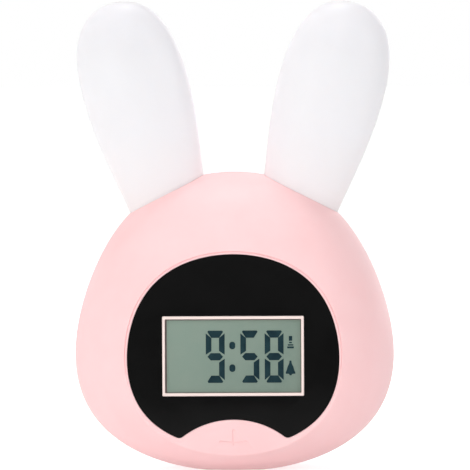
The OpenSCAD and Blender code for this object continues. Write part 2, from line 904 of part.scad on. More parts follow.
module rear_shell() {
    color(head_colour)
        difference() {
            union() {
                half_skin(false);
                difference() {
                    intersection() {
                        along_y(-lip_h, eps) outline(wall - lip_t);
                        block(-big, big, -big, big, lip_from_z + fit_gap, big);
                    }
                    along_y(-big, big) outline(wall, cavity_sides);
                }
            }
            block(-big, big, -big, big, -big, base_z);
            difference() {
                half_head(false, wall, cavity_sides, cavity_rings);
                block(-big, big, -big, big, -big, floor_z);
                rear_insides();
            }
            for (side = [-1, 1]) {
                ear_opening(side);
                light_posts(side, board_screw_r, light_board_s1 - eps, light_board_s1 + light_screw_len);
            }
            bay_box(0, bay_floor_y, back_y + 1);
            door_recess();
            rod_y(door_screw_x, door_screw_z, door_screw_r + fit_gap, door_inner_y - door_screw_len, back_y);
            for (i = [0:button_count - 1])
                rod_y(button_x(i), button_z, button_r + run_gap, back_inner_y - 1, back_y + 1);
            switch_slot(back_inner_y - 1, back_y + 1, switch_slot_gap);
            grille_holes();
            along_y(back_inner_y - 1, back_y + 1) socket_shape(socket_gap);
            for (p = case_posts) {
                rod_y(p.x, p.y, case_head_r + case_head_gap, case_head_y, back_y + 1);
                rod_y(p.x, p.y, case_screw_r + screw_clear, -1, case_head_y + 1);
            }
            for (x = button_board_posts)
                rod_y(x, button_post_z, board_screw_r, button_board_y1 - 1,
                    button_board_y1 - board_t + board_screw_len + screw_clear);
            foot_pockets();
        }
}

// The door is a plate with a tab for its screw
module door_shape(grow) {
    translate([0, bay_mid_z])
        rounded(2 * (door_half_w + grow), 2 * (door_half_h + grow), door_r + grow);
    translate([door_screw_x, door_screw_z]) circle(door_tab_r + grow);
    translate([door_screw_x - door_tab_r, door_screw_z])
        square([2 * door_tab_r, 2 * (door_tab_r + grow)], center = true);
}

module door_recess() {
    along_y(door_inner_y, back_y + 1) door_shape(door_gap);
}

// ---- Feet and case screws ----
module foot_places() {
    for (x = [-1, 1], y = [-1, 1])
        translate([x * foot_off, y * foot_off, 0]) children();
}

module foot_pockets() {
    foot_places() translate([0, 0, -1]) cylinder(h = foot_t + 1, r = foot_r + fit_gap);
}

module rubber_feet() {
    color([0.85, 0.85, 0.86])
        foot_places() cylinder(h = foot_t, r = foot_r);
}

module case_screws() {
    color(steel)
        for (p = case_posts)
            translate([p.x, case_head_y, p.y])
                rotate([90, 0, 0]) {
                    cylinder(h = case_head_y + case_screw_reach, r = case_screw_r);
                    translate([0, 0, -case_head_t])
                        difference() {
                            cylinder(h = case_head_t, r = case_head_r);
                            cross_recess(case_cross_len, case_cross_w, case_cross_depth);
                        }
                }
}

// ---- Rear buttons ----
// A cap with a round edge, on a flange that the case holds back
module button(i) {
    cap_h = back_y + button_proud - back_inner_y;
    color(ear_colour)
        translate([button_x(i), back_inner_y, button_z])
            rotate([-90, 0, 0])
                rotate_extrude() {
                    translate([0, -button_flange_t]) square([button_flange_r, button_flange_t]);
                    square([button_r - button_edge_r, cap_h]);
                    square([button_r, cap_h - button_edge_r]);
                    translate([button_r - button_edge_r, cap_h - button_edge_r]) circle(button_edge_r);
                }
}

module plunger(i) {
    color("ivory")
        rod_y(button_x(i), button_z, plunger_r, tact_top_y - plunger_sink, button_under_y);
}

module tact_switches() {
    color([0.25, 0.25, 0.27])
        for (i = [0:button_count - 1])
            difference() {
                block(button_x(i) - tact_size / 2, button_x(i) + tact_size / 2, button_board_y1, tact_top_y,
                    button_z - tact_size / 2, button_z + tact_size / 2);
                rod_y(button_x(i), button_z, plunger_r + run_gap,
                    tact_top_y - plunger_sink - button_travel - tact_spare, tact_top_y + 1);
            }
}

module button_board() {
    color(board_colour)
        difference() {
            block(button_board_x0, button_board_x1, button_board_y0, button_board_y1,
                button_z - button_board_low, button_z + button_board_high);
            for (x = button_board_posts)
                rod_y(x, button_post_z, board_screw_r + screw_clear,
                    button_board_y0 - 1, button_board_y1 + 1);
        }
}

module button_board_screws() {
    color(steel)
        for (x = button_board_posts)
            translate([x, button_board_y0, button_post_z])
                rotate([-90, 0, 0]) board_screw();
}

// ---- Slide switch ----
module alarm_switch_body() {
    color(steel)
        difference() {
            block(switch_x - switch_can_w / 2, switch_x + switch_can_w / 2, button_board_y1,
                button_board_y1 + switch_can_t, button_z - switch_can_h / 2, button_z + switch_can_h / 2);
            switch_slot(button_board_y1 + switch_foot_t, back_y, run_gap);
        }
}

module alarm_switch_knob() {
    x = switch_x - switch_travel / 2;
    color(ear_colour) {
        block(x - knob_half_w, x + knob_half_w,
            button_board_y1 + switch_foot_t + run_gap, back_y + knob_proud,
            button_z - knob_half_h, button_z + knob_half_h);
        for (i = [-1:1])
            block(x + i * knob_ridge_pitch - knob_ridge_w / 2, x + i * knob_ridge_pitch + knob_ridge_w / 2,
                back_y + knob_proud, back_y + knob_proud + knob_ridge_h,
                button_z - knob_half_h, button_z + knob_half_h);
    }
}

// ---- Charging socket ----
charge_board_z0 = socket_z - board_t;

module charge_board() {
    color(board_colour)
        block(socket_x - charge_board_w / 2, socket_x + charge_board_w / 2,
            back_inner_y - charge_board_len, back_inner_y, charge_board_z0, socket_z);
}

// The socket's outline, a slot with half-round ends
module socket_shape(grow) {
    h = socket_h + 2 * grow;
    translate([socket_x, socket_mid_z]) rounded(socket_w + 2 * grow, h, h / 2 - eps);
}

// A drawn metal shell with the contact tongue in its middle
module charge_socket() {
    y1 = back_y - socket_recess;
    color(steel)
        difference() {
            along_y(y1 - socket_depth, y1) socket_shape(0);
            along_y(y1 - socket_depth + socket_floor, y1 + 1)
                difference() {
                    socket_shape(-socket_lip);
                    translate([socket_x, socket_mid_z])
                        square([socket_tongue_w, socket_tongue_h], center = true);
                }
            along_y(y1 - socket_lip, y1 + 1) socket_shape(-socket_lip);
        }
}

// ---- Battery bay ----
// The rim under the door drops into the mouth of the bay
module door_rim() {
    along_y(door_inner_y - door_rim_h, door_inner_y + eps)
        translate([0, bay_mid_z])
            difference() {
                square([2 * (bay_half_w - fit_gap), 2 * (bay_half_h - fit_gap)], center = true);
                square([2 * (bay_half_w - door_rim_t), 2 * (bay_half_h - door_rim_t)], center = true);
            }
}

module battery_door() {
    color(head_colour)
        difference() {
            union() {
                along_y(door_inner_y, back_y) door_shape(0);
                door_rim();
            }
            rod_y(door_screw_x, door_screw_z, door_screw_r + fit_gap, door_inner_y - 1, back_y + 1);
            rod_y(door_screw_x, door_screw_z, door_head_r + door_head_gap,
                back_y - door_head_sink, back_y + 1);
            for (i = [-1:1])
                along_y(back_y - grip_depth, back_y + 1)
                    translate([0, grip_z + i * grip_pitch])
                        rounded(grip_w, grip_groove_w, grip_groove_w / 2 - eps);
        }
}

module battery_door_screw() {
    color(steel)
        translate([door_screw_x, back_y - door_head_sink, door_screw_z])
            rotate([90, 0, 0]) {
                cylinder(h = door_screw_len, r = door_screw_r);
                translate([0, 0, -door_head_t])
                    difference() {
                        cylinder(h = door_head_t, r = door_head_r);
                        cross_recess(door_cross_len, cross_w, door_cross_depth);
                    }
            }
}

// Cells lie head to tail, one above the other
function cell_side(i) = i == 0 ? 1 : -1;

module cell_places() {
    for (i = [-1:1])
        translate([0, cell_y, bay_mid_z + i * cell_pitch])
            mirror([cell_side(i) > 0 ? 0 : 1, 0, 0]) children();
}

module battery_cells() {
    x0 = -bay_half_w + contact_t + spring_len;
    color([0.2, 0.45, 0.4])
        cell_places()
            translate([x0, 0, 0])
                rotate([0, 90, 0]) {
                    cylinder(h = cell_len - cell_nub_h, r = cell_r);
                    translate([0, 0, cell_len - cell_nub_h]) cylinder(h = cell_nub_h, r = cell_nub_r);
                }
}

// A coil that narrows towards the cell, wound round X
spring_wire_r = 0.3;
spring_turns = 3;
spring_steps = 12;
spring_sides = 6;
function spring_radius(t) = lerp(spring_wide_r, spring_tip_r, t);
function spring_ring(t) =
    let (
        turn = 360 * spring_turns * t,
        r = spring_radius(t),
        x = lerp(spring_wire_r, spring_len - spring_wire_r, t)
    )
    [for (i = [0:spring_sides - 1])
        let (a = 360 * i / spring_sides, reach = r + spring_wire_r * cos(a))
        [x + spring_wire_r * sin(a), reach * cos(turn), reach * sin(turn)]];

module battery_springs() {
    steps = spring_turns * spring_steps;
    color(steel)
        cell_places()
            translate([-bay_half_w + contact_t, 0, 0])
                skin([for (i = [0:steps]) spring_ring(i / steps)]);
}

module battery_contacts() {
    color(steel)
        cell_places()
            for (x = [-bay_half_w, bay_half_w - contact_t])
                block(x, x + contact_t, -contact_half_w, contact_half_w, -contact_half_w, contact_half_w);
}

// ---- Speaker ----
module speaker_gasket() {
    color([0.2, 0.2, 0.2])
        along_y(speaker_top_y, back_inner_y)
            translate([0, speaker_z])
                difference() {
                    circle(speaker_r);
                    circle(speaker_r - speaker_edge);
                }
}

module speaker_basket() {
    y1 = speaker_top_y;
    color(steel)
        difference() {
            union() {
                rod_y(0, speaker_z, speaker_r, y1 - speaker_bowl_t, y1);
                rod_y(0, speaker_z, speaker_r - speaker_bowl_inset, y1 - speaker_depth, y1);
                rod_y(0, speaker_z, magnet_r, y1 - speaker_depth - magnet_t, y1);
            }
            rod_y(0, speaker_z, speaker_r - speaker_edge, y1 - speaker_bowl_depth, y1 + 1);
        }
}

// The cone has a raised roll at its rim and a dome in its middle
module speaker_cone() {
    r = speaker_r - speaker_edge - cone_gap;
    dome_r = r / 3;
    color(black)
        translate([0, speaker_top_y - speaker_bowl_depth, speaker_z])
            rotate([-90, 0, 0])
                rotate_extrude()
                    polygon([
                        [0, 0], [r, 0], [r, cone_t / 2], [r * 0.82, cone_t * 0.9],
                        [r * 0.46, cone_t * 0.27], [dome_r, cone_t * 0.8], [0, cone_t]
                    ]);
}

// ---- Touch pad under the crown ----
module touch_pad() {
    color([0.85, 0.55, 0.3])
        translate([0, touch_y, touch_z - touch_t]) cylinder(h = touch_t, r = touch_r - touch_edge);
}

front_shell();
rear_shell();
ear(-1);  // left_ear
ear(1);  // right_ear
face_panel();
lcd_glass();
lcd_backlight();
lcd_holder();
contact_strips();
main_board();
main_board_chips();
main_board_screws();
light_board(-1);  // left_light_board
light_board(1);  // right_light_board
leds(-1);  // left_leds
leds(1);  // right_leds
light_screws(-1);  // left_light_screws
light_screws(1);  // right_light_screws
touch_pad();
button_board();
button_board_screws();
tact_switches();
button(0);  // time_button
button(1);  // alarm_button
button(2);  // up_button
button(3);  // down_button
button(4);  // light_button
plunger(0);  // time_plunger
plunger(1);  // alarm_plunger
plunger(2);  // up_plunger
plunger(3);  // down_plunger
plunger(4);  // light_plunger
alarm_switch_body();
alarm_switch_knob();
charge_board();
charge_socket();
battery_door();
battery_door_screw();
battery_cells();
battery_springs();
battery_contacts();
speaker_gasket();
speaker_basket();
speaker_cone();
case_screws();
rubber_feet();
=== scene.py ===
"""Looks of a rabbit-shaped alarm clock with glowing ears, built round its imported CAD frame.

Shapes are worked out in millimetres in the CAD's own frame: +Z is up, the face looks along -Y and the
case parts at the plane y = 0. They turn into metres when a mesh is made.
"""
from math import asin, atan2, cos, hypot, pi, radians, sin, sqrt

import bmesh
import bpy
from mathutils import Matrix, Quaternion, Vector

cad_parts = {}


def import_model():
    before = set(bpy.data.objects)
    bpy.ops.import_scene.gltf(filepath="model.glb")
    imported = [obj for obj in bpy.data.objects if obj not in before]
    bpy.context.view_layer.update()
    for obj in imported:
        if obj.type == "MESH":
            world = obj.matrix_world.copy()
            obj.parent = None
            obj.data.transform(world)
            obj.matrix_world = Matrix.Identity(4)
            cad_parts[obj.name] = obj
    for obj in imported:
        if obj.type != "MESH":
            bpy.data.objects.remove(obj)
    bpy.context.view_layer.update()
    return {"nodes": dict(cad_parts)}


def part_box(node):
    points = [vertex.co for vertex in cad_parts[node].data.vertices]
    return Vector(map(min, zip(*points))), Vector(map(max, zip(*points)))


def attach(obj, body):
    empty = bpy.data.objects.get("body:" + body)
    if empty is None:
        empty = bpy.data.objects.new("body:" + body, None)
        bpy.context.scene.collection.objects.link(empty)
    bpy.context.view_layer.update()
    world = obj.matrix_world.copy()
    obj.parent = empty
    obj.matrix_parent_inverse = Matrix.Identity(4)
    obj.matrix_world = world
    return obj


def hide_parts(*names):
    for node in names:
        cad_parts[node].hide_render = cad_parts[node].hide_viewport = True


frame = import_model()
nodes = frame["nodes"]

MM = 0.001
TAU = 2 * pi

# ---- Sizes of the moulded forms: the CAD's, some of them eased by tenths of a millimetre ----
HEAD_H = 102.5
HEAD_HALF_W = 53.93
BASE_CUT = 1.0
BASE_Z = 0.2
CAVITY_LOW_Z = 3.2
WALL = 2.2

FACE_DEPTH = 34.0
FACE_TURN = radians(47.5)
BACK_DEPTH = 33.0
BACK_TURN = radians(39)
EDGE_SOFT = 0.5
EDGE_CRISP = 0.1
GROOVE_W = 0.4
GROOVE_DEPTH = 0.32
EDGE_TURN = radians(1.2)
SEAM = 0.25

# Names that end in _S are places along the ear's leaning axis, from its seat in the head
EAR_LEN = 66.5
EAR_ROOT = (12.9, 10.4)
EAR_WIDE = (18.52, 12.8)
EAR_WIDE_S = 36.0
EAR_FOOT_S = -8.8
EAR_NECK_S = -9.9
EAR_LEAN = radians(15.4)
EAR_SEAT_ANGLE = radians(26.7)
EAR_WALL = 1.6
EAR_GAP = 0.1
# How strongly the ear's outline holds its direction at its foot, its widest place and its tip
EAR_FOOT_SWELL = (2.5, 0.4)
EAR_FOOT_PULL = 15.8
EAR_WIDE_PULL = 15.0
EAR_TIP_FULLNESS = 0.69
EAR_TIP_PULL = 0.615
# How far the hole in the case follows the ear, as a share of the way to its widest place
EAR_HOLE_REACH = 0.6
# The smooth tip is trimmed a little, to keep inside the CAD's faceted one
EAR_TIP_TRIM = 0.15
EAR_TIP_SHARE = 0.985

PANEL_T = 1.0
PANEL_GAP = 0.1
PANEL_EDGE_R = 0.12
PANEL_HOLE_GAP = 0.06
TIP_R = 2.0
MUZZLE_R = 29.0
MUZZLE_TOP_Z = 18.85

VIEW_W = 46.85
VIEW_H = 25.4
VIEW_MID_Z = 40.7
VIEW_CORNER_R = 0.3
RIM_OUTER_W = 48.7
RIM_OUTER_H = 27.5
RIM_PROUD = 0.4
RIM_CORNER_R = 0.35
RIM_EDGE_R = 0.32

MOUTH_LEN = 8.7
MOUTH_W = 1.3
MOUTH_R = 20.0
MOUTH_Z = 10.5
MOUTH_STEM_W = 1.0
MOUTH_STEM_TOP_Z = 15.5
MOUTH_DEPTH = 0.4
MOUTH_STEEP_RUN = 0.12
MOUTH_BOTTOM_W = 0.16
MOUTH_BOTTOM_SHIFT = 0.35

FOOT_R = 3.2
FOOT_GAP = 0.1

# ---- How finely the smooth forms are cut up ----
HEAD_SIDES = 240
HEAD_RINGS = 44
CAVITY_RINGS = 10
EAR_SIDES = 96
EAR_RINGS = 34
ROUND_STEPS = 5
# The angles through which an edge is rounded
QUARTER = [pi / 2 * i / ROUND_STEPS for i in range(ROUND_STEPS + 1)]


def lerp(a, b, t):
    return a + (b - a) * t


def bezier(a, b, c, d, t):
    return a * (1 - t) ** 3 + 3 * b * (1 - t) ** 2 * t + 3 * c * (1 - t) * t * t + d * t ** 3


# ---- Outlines of the head and its flat ends ----
def egg(half_w, taper, fullness, mid_z, half_h, crown=0.0, chin=0.0):
    """An egg-shaped outline in X and Z, as a function of the angle from its top."""
    def point(a):
        c = cos(a)
        width = half_w - taper * c + fullness * c ** 2 + crown * c ** 3 + chin * min(c, 0.0) ** 4
        return sin(a) * width, mid_z + half_h * c
    return point


head_point = egg(
    HEAD_HALF_W, taper=9.7, fullness=7.8, crown=3.4, chin=2.0,
    mid_z=(HEAD_H - BASE_CUT) / 2, half_h=(HEAD_H + BASE_CUT) / 2)
face_point = egg(37.6, taper=1.2, fullness=5, mid_z=41.65, half_h=35.25)
panel_point = egg(36.4, taper=1.9, fullness=5.5, mid_z=42.35, half_h=33.35)
back_point = egg(43, taper=0, fullness=4, mid_z=46, half_h=39.5)


class Half:
    """The front or the rear half of the head."""

    def __init__(self, side, depth, turn, end_point, grooved):
        self.side, self.depth, self.turn = side, depth, turn
        self.end_point, self.grooved = end_point, grooved

    def groove(self, a):
        """How full the fine groove round the flat end is: it fades out under the cheeks."""
        return min(1.0, max(0.0, 1 + 2 * cos(a))) if self.grooved else 0.0

    def ring(self, turn, inset=0.0, shrink=0.0, crisp=0.0, sink=0.0):
        """A closed ring at that turn from the seam, inset under the skin or drawn in along its plane.
        Where the groove is full it is drawn in by crisp instead, if that is given, and sunk."""
        blend = (1 - cos(turn)) / (1 - cos(self.turn))
        y = self.side * (self.depth - inset) * sin(turn) / sin(self.turn)
        ring = []
        for i in range(HEAD_SIDES):
            a = TAU * i / HEAD_SIDES
            (x0, z0), (x1, z1) = head_point(a), self.end_point(a)
            full = self.groove(a)
            draw = inset + (lerp(shrink, crisp, full) if crisp else shrink)
            x = lerp(x0, x1, blend) - draw * sin(a)
            z = lerp(z0, z1, blend) - draw * cos(a)
            ring.append((x, y - self.side * sink * full, z))
        return ring

    def turn_at(self, depth):
        return asin(depth * sin(self.turn) / self.depth)

    def seam_rings(self):
        """The rounded lip of the half where it meets the other."""
        rings = []
        for phi in QUARTER[:-1]:
            depth = SEAM * (1 - cos(phi))
            rings.append(self.ring(self.turn_at(depth), shrink=SEAM * (1 - sin(phi))))
        return rings

    def edge_rings(self):
        """The flat end's soft edge and fine groove, and one more ring that keeps the end flat."""
        start = self.ring(self.turn - EDGE_TURN)
        corner = self.ring(self.turn)
        end = self.ring(self.turn, shrink=EDGE_SOFT, crisp=EDGE_CRISP)
        rings = []
        for i in range(1, ROUND_STEPS + 1):
            t = i / ROUND_STEPS
            weights = ((1 - t) ** 2, 2 * t * (1 - t), t * t)
            rings.append([
                tuple(sum(w * p[k] for w, p in zip(weights, points)) for k in range(3))
                for points in zip(start, corner, end)
            ])
        # Each ring's way across the groove, as a share of its width, and its depth
        for share, sink in ((0.35, GROOVE_DEPTH), (0.65, GROOVE_DEPTH), (1.0, 0.0), (1.1, 0.0)):
            step = share * GROOVE_W
            rings.append(self.ring(self.turn, 0.0, EDGE_SOFT + step, EDGE_CRISP + step, sink))
        return rings

    def shell_rings(self):
        """Rings of the open shell: down the cavity, round the lip and up the outside."""
        cavity = []
        for i in range(CAVITY_RINGS, -1, -1):
            ring = self.ring(self.turn * i / CAVITY_RINGS, inset=WALL)
            cavity.append([(x, y, max(z, CAVITY_LOW_Z)) for x, y, z in ring])
        first = self.turn_at(SEAM)
        last = self.turn - EDGE_TURN
        outside = [self.ring(lerp(first, last, i / HEAD_RINGS)) for i in range(HEAD_RINGS + 1)]
        return cavity + self.seam_rings() + outside + self.edge_rings()


FRONT = Half(-1, FACE_DEPTH, FACE_TURN, face_point, grooved=True)
REAR = Half(1, BACK_DEPTH, BACK_TURN, back_point, grooved=False)


# ---- Mesh helpers ----
def show(name, data):
    """A new object in the scene."""
    piece = bpy.data.objects.new(name, data)
    bpy.context.scene.collection.objects.link(piece)
    return piece


def solid(name, points, faces):
    """A closed mesh object from points in millimetres, with its faces turned outwards."""
    mesh = bpy.data.meshes.new(name)
    mesh.from_pydata([Vector(p) * MM for p in points], [], faces)
    work = bmesh.new()
    work.from_mesh(mesh)
    bmesh.ops.recalc_face_normals(work, faces=work.faces)
    work.to_mesh(mesh)
    work.free()
    return show(name, mesh)


def loft(name, rings, closed=False):
    """A solid through rings with the same number of points; closed joins the last ring to the first."""
    n = len(rings[0])
    points = [p for ring in rings for p in ring]
    spans = len(rings) if closed else len(rings) - 1
    faces = []
    for i in range(spans):
        here, there = i * n, (i + 1) % len(rings) * n
        for j in range(n):
            k = (j + 1) % n
            faces.append((here + j, here + k, there + k, there + j))
    if not closed:
        faces.append(tuple(range(n)))
        faces.append(tuple(range(len(points) - n, len(points))))
    return solid(name, points, faces)


def at_y(points, y):
    return [(x, y, z) for x, z in points]


def along_y(name, outline, levels):
    """A solid with an outline in X and Z, carried through levels of (y, how far it has grown)."""
    return loft(name, [at_y(outline(grow), y) for y, grow in levels])


def straight(name, outline, low_y, high_y, grow=0.0):
    return along_y(name, outline, [(low_y, grow), (high_y, grow)])


def block(x0, x1, y0, y1, z0, z1):
    outline = [(x0, z0), (x1, z0), (x1, z1), (x0, z1)]
    return loft("block", [at_y(outline, y) for y in (y0, y1)])


def join(name, pieces):
    """One object that holds several closed parts."""
    work = bmesh.new()
    for piece in pieces:
        work.from_mesh(piece.data)
        bpy.data.objects.remove(piece)
    mesh = bpy.data.meshes.new(name)
    work.to_mesh(mesh)
    work.free()
    return show(name, mesh)


def carve(piece, tool, operation="DIFFERENCE"):
    """Cuts tool out of piece, or adds it, and deletes tool."""
    modifier = piece.modifiers.new("carve", "BOOLEAN")
    modifier.operation = operation
    modifier.solver = "EXACT"
    modifier.object = tool
    evaluated = piece.evaluated_get(bpy.context.evaluated_depsgraph_get())
    mesh = bpy.data.meshes.new_from_object(evaluated)
    piece.modifiers.clear()
    piece.data = mesh
    bpy.data.objects.remove(tool)
    return piece


def dress(piece, slot, body="case", replaces=(), material=None, sharp=32):
    """Gives a piece its material, from its slot unless given, and its body; hides the CAD nodes it
    stands for.
    """
    mesh = piece.data
    mesh.materials.clear()
    mesh.materials.append(material or MATERIALS[slot])
    mesh.polygons.foreach_set("use_smooth", [True] * len(mesh.polygons))
    mesh.set_sharp_from_angle(angle=radians(sharp))
    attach(piece, body)
    if replaces:
        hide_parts(*replaces)


# ---- Outlines in X and Z that can grow outwards ----
def circle(x, z, r, sides=48):
    def outline(grow=0.0):
        steps = [TAU * i / sides for i in range(sides)]
        return [(x + (r + grow) * cos(a), z + (r + grow) * sin(a)) for a in steps]
    return outline


def rectangle(x, z, w, h, r, steps=6):
    """A rectangle with round corners of radius r."""
    def outline(grow=0.0):
        reach = max(r + grow, 0.02)
        points = []
        for quarter, (sx, sz) in enumerate([(1, 1), (-1, 1), (-1, -1), (1, -1)]):
            for i in range(steps + 1):
                a = pi / 2 * (quarter + i / steps)
                px = x + sx * (w / 2 - r) + reach * cos(a)
                pz = z + sz * (h / 2 - r) + reach * sin(a)
                points.append((px, pz))
        return points
    return outline


def panel_outline(grow=0.0):
    """The panel's full outline less the muzzle's round top, with round tips."""
    muzzle_z = MUZZLE_TOP_Z - MUZZLE_R

    def inset_point(a, inset):
        (x, z), (x0, z0), (x1, z1) = panel_point(a), panel_point(a - 0.001), panel_point(a + 0.001)
        length = hypot(x1 - x0, z1 - z0)
        return x + inset * (z1 - z0) / length, z - inset * (x1 - x0) / length

    low, high = pi / 2, pi
    for _ in range(40):
        middle = (low + high) / 2
        x, z = inset_point(middle, TIP_R)
        outside = hypot(x, z - muzzle_z) > MUZZLE_R + TIP_R
        low, high = (middle, high) if outside else (low, middle)
    tip_angle = (low + high) / 2
    tip_x, tip_z = inset_point(tip_angle, TIP_R)
    edge_x, edge_z = inset_point(tip_angle, 0.0)
    rise = atan2(tip_z - muzzle_z, tip_x)
    sides, tip_steps, muzzle_steps = 90, 12, 30
    half = [inset_point(tip_angle * i / sides, -grow) for i in range(sides + 1)]
    start, end = atan2(edge_z - tip_z, edge_x - tip_x), rise - pi
    for i in range(1, tip_steps + 1):
        a = lerp(start, end, i / tip_steps)
        half.append((tip_x + (TIP_R + grow) * cos(a), tip_z + (TIP_R + grow) * sin(a)))
    for i in range(1, muzzle_steps + 1):
        a = lerp(rise, pi / 2, i / muzzle_steps)
        reach = MUZZLE_R - grow
        half.append((reach * cos(a), muzzle_z + reach * sin(a)))
    return half + [(-x, z) for x, z in reversed(half[1:-1])]


# ---- Rounded edges, and the CAD's boxes ----
def soft_levels(low, high, low_r=0.0, high_r=0.0):
    """Levels of (y, growth) from low to high, with rounded edges of those radii."""
    levels = []
    for phi in QUARTER if low_r else QUARTER[-1:]:
        levels.append((low + low_r * (1 - cos(phi)), -low_r * (1 - sin(phi))))
    for phi in QUARTER[::-1] if high_r else QUARTER[-1:]:
        levels.append((high - high_r * (1 - cos(phi)), -high_r * (1 - sin(phi))))
    return levels


def opening(outline, surface, inwards, depth, lip, floor_r=0.0):
    """A cutter through a flat surface, which leaves a rounded lip and, if asked, a round floor."""
    levels = [(surface - inwards, lip)]
    for phi in QUARTER:
        levels.append((surface + inwards * lip * (1 - cos(phi)), lip * (1 - sin(phi))))
    if floor_r:
        for phi in QUARTER:
            here = depth - floor_r * (1 - sin(phi))
            levels.append((surface + inwards * here, -floor_r * (1 - cos(phi))))
    else:
        levels.append((surface + inwards * depth, 0.0))
    return along_y("opening", outline, levels)


def box_mm(node):
    low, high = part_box(node)
    return low / MM, high / MM


def middle_xz(node):
    low, high = box_mm(node)
    return (low.x + high.x) / 2, (low.z + high.z) / 2


# ---- Materials ----
def add(tree, kind, sockets=None, **settings):
    """A node with its settings. Its sockets are set to values, or linked to outputs or other nodes'
    first outputs."""
    node = tree.nodes.new(kind)
    for name, value in settings.items():
        setattr(node, name, value)
    for name, value in (sockets or {}).items():
        if isinstance(value, bpy.types.Node):
            value = value.outputs[0]
        if isinstance(value, bpy.types.NodeSocket):
            tree.links.new(value, node.inputs[name])
        else:
            node.inputs[name].default_value = value
    return node


def noise(tree, place, size, detail=3.0):
    """Clouds of about that size in millimetres."""
    sockets = {"Vector": place, "Scale": 1 / (size * MM), "Detail": detail}
    return add(tree, "ShaderNodeTexNoise", sockets).outputs["Fac"]


def spread(tree, value, low, high, to_low, to_high):
    """Maps a value from low..high to to_low..to_high."""
    sockets = {"Value": value, "From Min": low, "From Max": high, "To Min": to_low, "To Max": to_high}
    return add(tree, "ShaderNodeMapRange", sockets).outputs["Result"]


def wander(tree, clouds, low, high):
    """Lets a value wander between low and high with a noise."""
    return spread(tree, clouds, 0.3, 0.7, low, high)


def bumps(tree, height, relief):
    """The surface's slopes, where height stands up by relief in micrometres."""
    sockets = {"Height": height, "Distance": relief * MM * MM}
    return add(tree, "ShaderNodeBump", sockets).outputs["Normal"]


def blend_colours(tree, factor, first, second):
    return add(tree, "ShaderNodeMix", {0: factor, 6: first, 7: second}, data_type="RGBA").outputs[2]


def srgb(red, green, blue):
    """A colour as a picture shows it, 0 to 255, in the linear values that the shader takes."""
    def linear(value):
        share = value / 255
        return share / 12.92 if share <= 0.04045 else ((share + 0.055) / 1.055) ** 2.4
    return linear(red), linear(green), linear(blue), 1.0


def start_material(name):
    material = bpy.data.materials.new(name)
    material.use_nodes = True
    tree = material.node_tree
    tree.nodes.clear()
    place = add(tree, "ShaderNodeTexCoord").outputs["Object"]
    return material, tree, place


def end_material(tree, sockets):
    shader = add(tree, "ShaderNodeBsdfPrincipled", sockets)
    add(tree, "ShaderNodeOutputMaterial", {"Surface": shader})


def finish(name, colour, shade, roughness, grain, relief, cloud=12.0, rough_drift=0.05, **shader):
    """A surface whose colour drifts to shade in soft clouds. A grain of that size in millimetres, which
    stands up by relief in micrometres, breaks its gloss."""
    material, tree, place = start_material(name)
    clouds = noise(tree, place, cloud)
    fine = noise(tree, place, grain, 2.0)
    end_material(tree, {
        "Base Color": blend_colours(
            tree, spread(tree, clouds, 0.35, 0.65, 0.0, 1.0), srgb(*colour), srgb(*shade)),
        "Roughness": wander(tree, fine, roughness - rough_drift, roughness + rough_drift),
        "Normal": bumps(tree, fine, relief),
        **{key.replace("_", " "): value for key, value in shader.items()},
    })
    return material


def ear_finish():
    """Milky plastic, with painted warm light and glow at its root and painted shade at its tip."""
    material, tree, place = start_material("milky_shade")
    height = add(tree, "ShaderNodeSeparateXYZ", {"Vector": place}).outputs["Z"]
    clouds = noise(tree, place, 14.0)
    fine = noise(tree, place, 0.25, 2.0)
    # Heights where the root's painted warm light fades out and the tip's painted shade sets in
    root = spread(tree, height, 86 * MM, 116 * MM, 1.0, 0.0)
    tip = spread(tree, height, 136 * MM, 158 * MM, 0.0, 1.0)
    clear = blend_colours(tree, clouds, srgb(252, 248, 253), srgb(249, 245, 250))
    # The tip's grey is painted shade
    white = blend_colours(tree, tip, clear, srgb(244, 240, 245))
    end_material(tree, {
        # The root's warm pink is painted bounce light from the head
        "Base Color": blend_colours(tree, root, white, srgb(253, 242, 241)),
        "Roughness": wander(tree, fine, 0.34, 0.42),
        "Normal": bumps(tree, fine, relief=4),
        "Subsurface Weight": 0.6,
        "Subsurface Radius": (1.0, 0.9, 0.85),
        "Subsurface Scale": 5 * MM,
        "Specular IOR Level": 0.35,
        # A faint pink glow near the root, painted light that lifts it out of the head's shadow
        "Emission Color": (1.0, 0.84, 0.86, 1.0),
        "Emission Strength": spread(tree, height, 84 * MM, 146 * MM, 0.05, 0.0),
    })
    return material


def display_finish():
    """A reflective display: grey-green, darker down to its right with painted shade, with a fine
    sparkle.
    """
    material, tree, place = start_material("display")
    sockets = {0: place, 1: (1.0, 0.0, -1.0)}
    fall = add(tree, "ShaderNodeVectorMath", sockets, operation="DOT_PRODUCT").outputs["Value"]
    reach = (VIEW_W + VIEW_H) / 2 * MM
    side = spread(tree, fall, -VIEW_MID_Z * MM - reach, -VIEW_MID_Z * MM + reach, 0.0, 1.0)
    clouds = noise(tree, place, 6.0)
    sparkle = noise(tree, place, 0.12, 1.0)
    # The darker colour down to the right is painted shade
    ground = blend_colours(tree, side, srgb(131, 151, 139), srgb(111, 129, 119))
    drift = blend_colours(tree, wander(tree, clouds, 0.0, 0.5), ground, srgb(133, 148, 136))
    end_material(tree, {
        "Base Color": blend_colours(tree, wander(tree, sparkle, 0.0, 0.25), drift, srgb(147, 164, 152)),
        "Roughness": wander(tree, clouds, 0.32, 0.4),
        "Normal": bumps(tree, sparkle, relief=2),
        "Specular IOR Level": 0.25,
    })
    return material


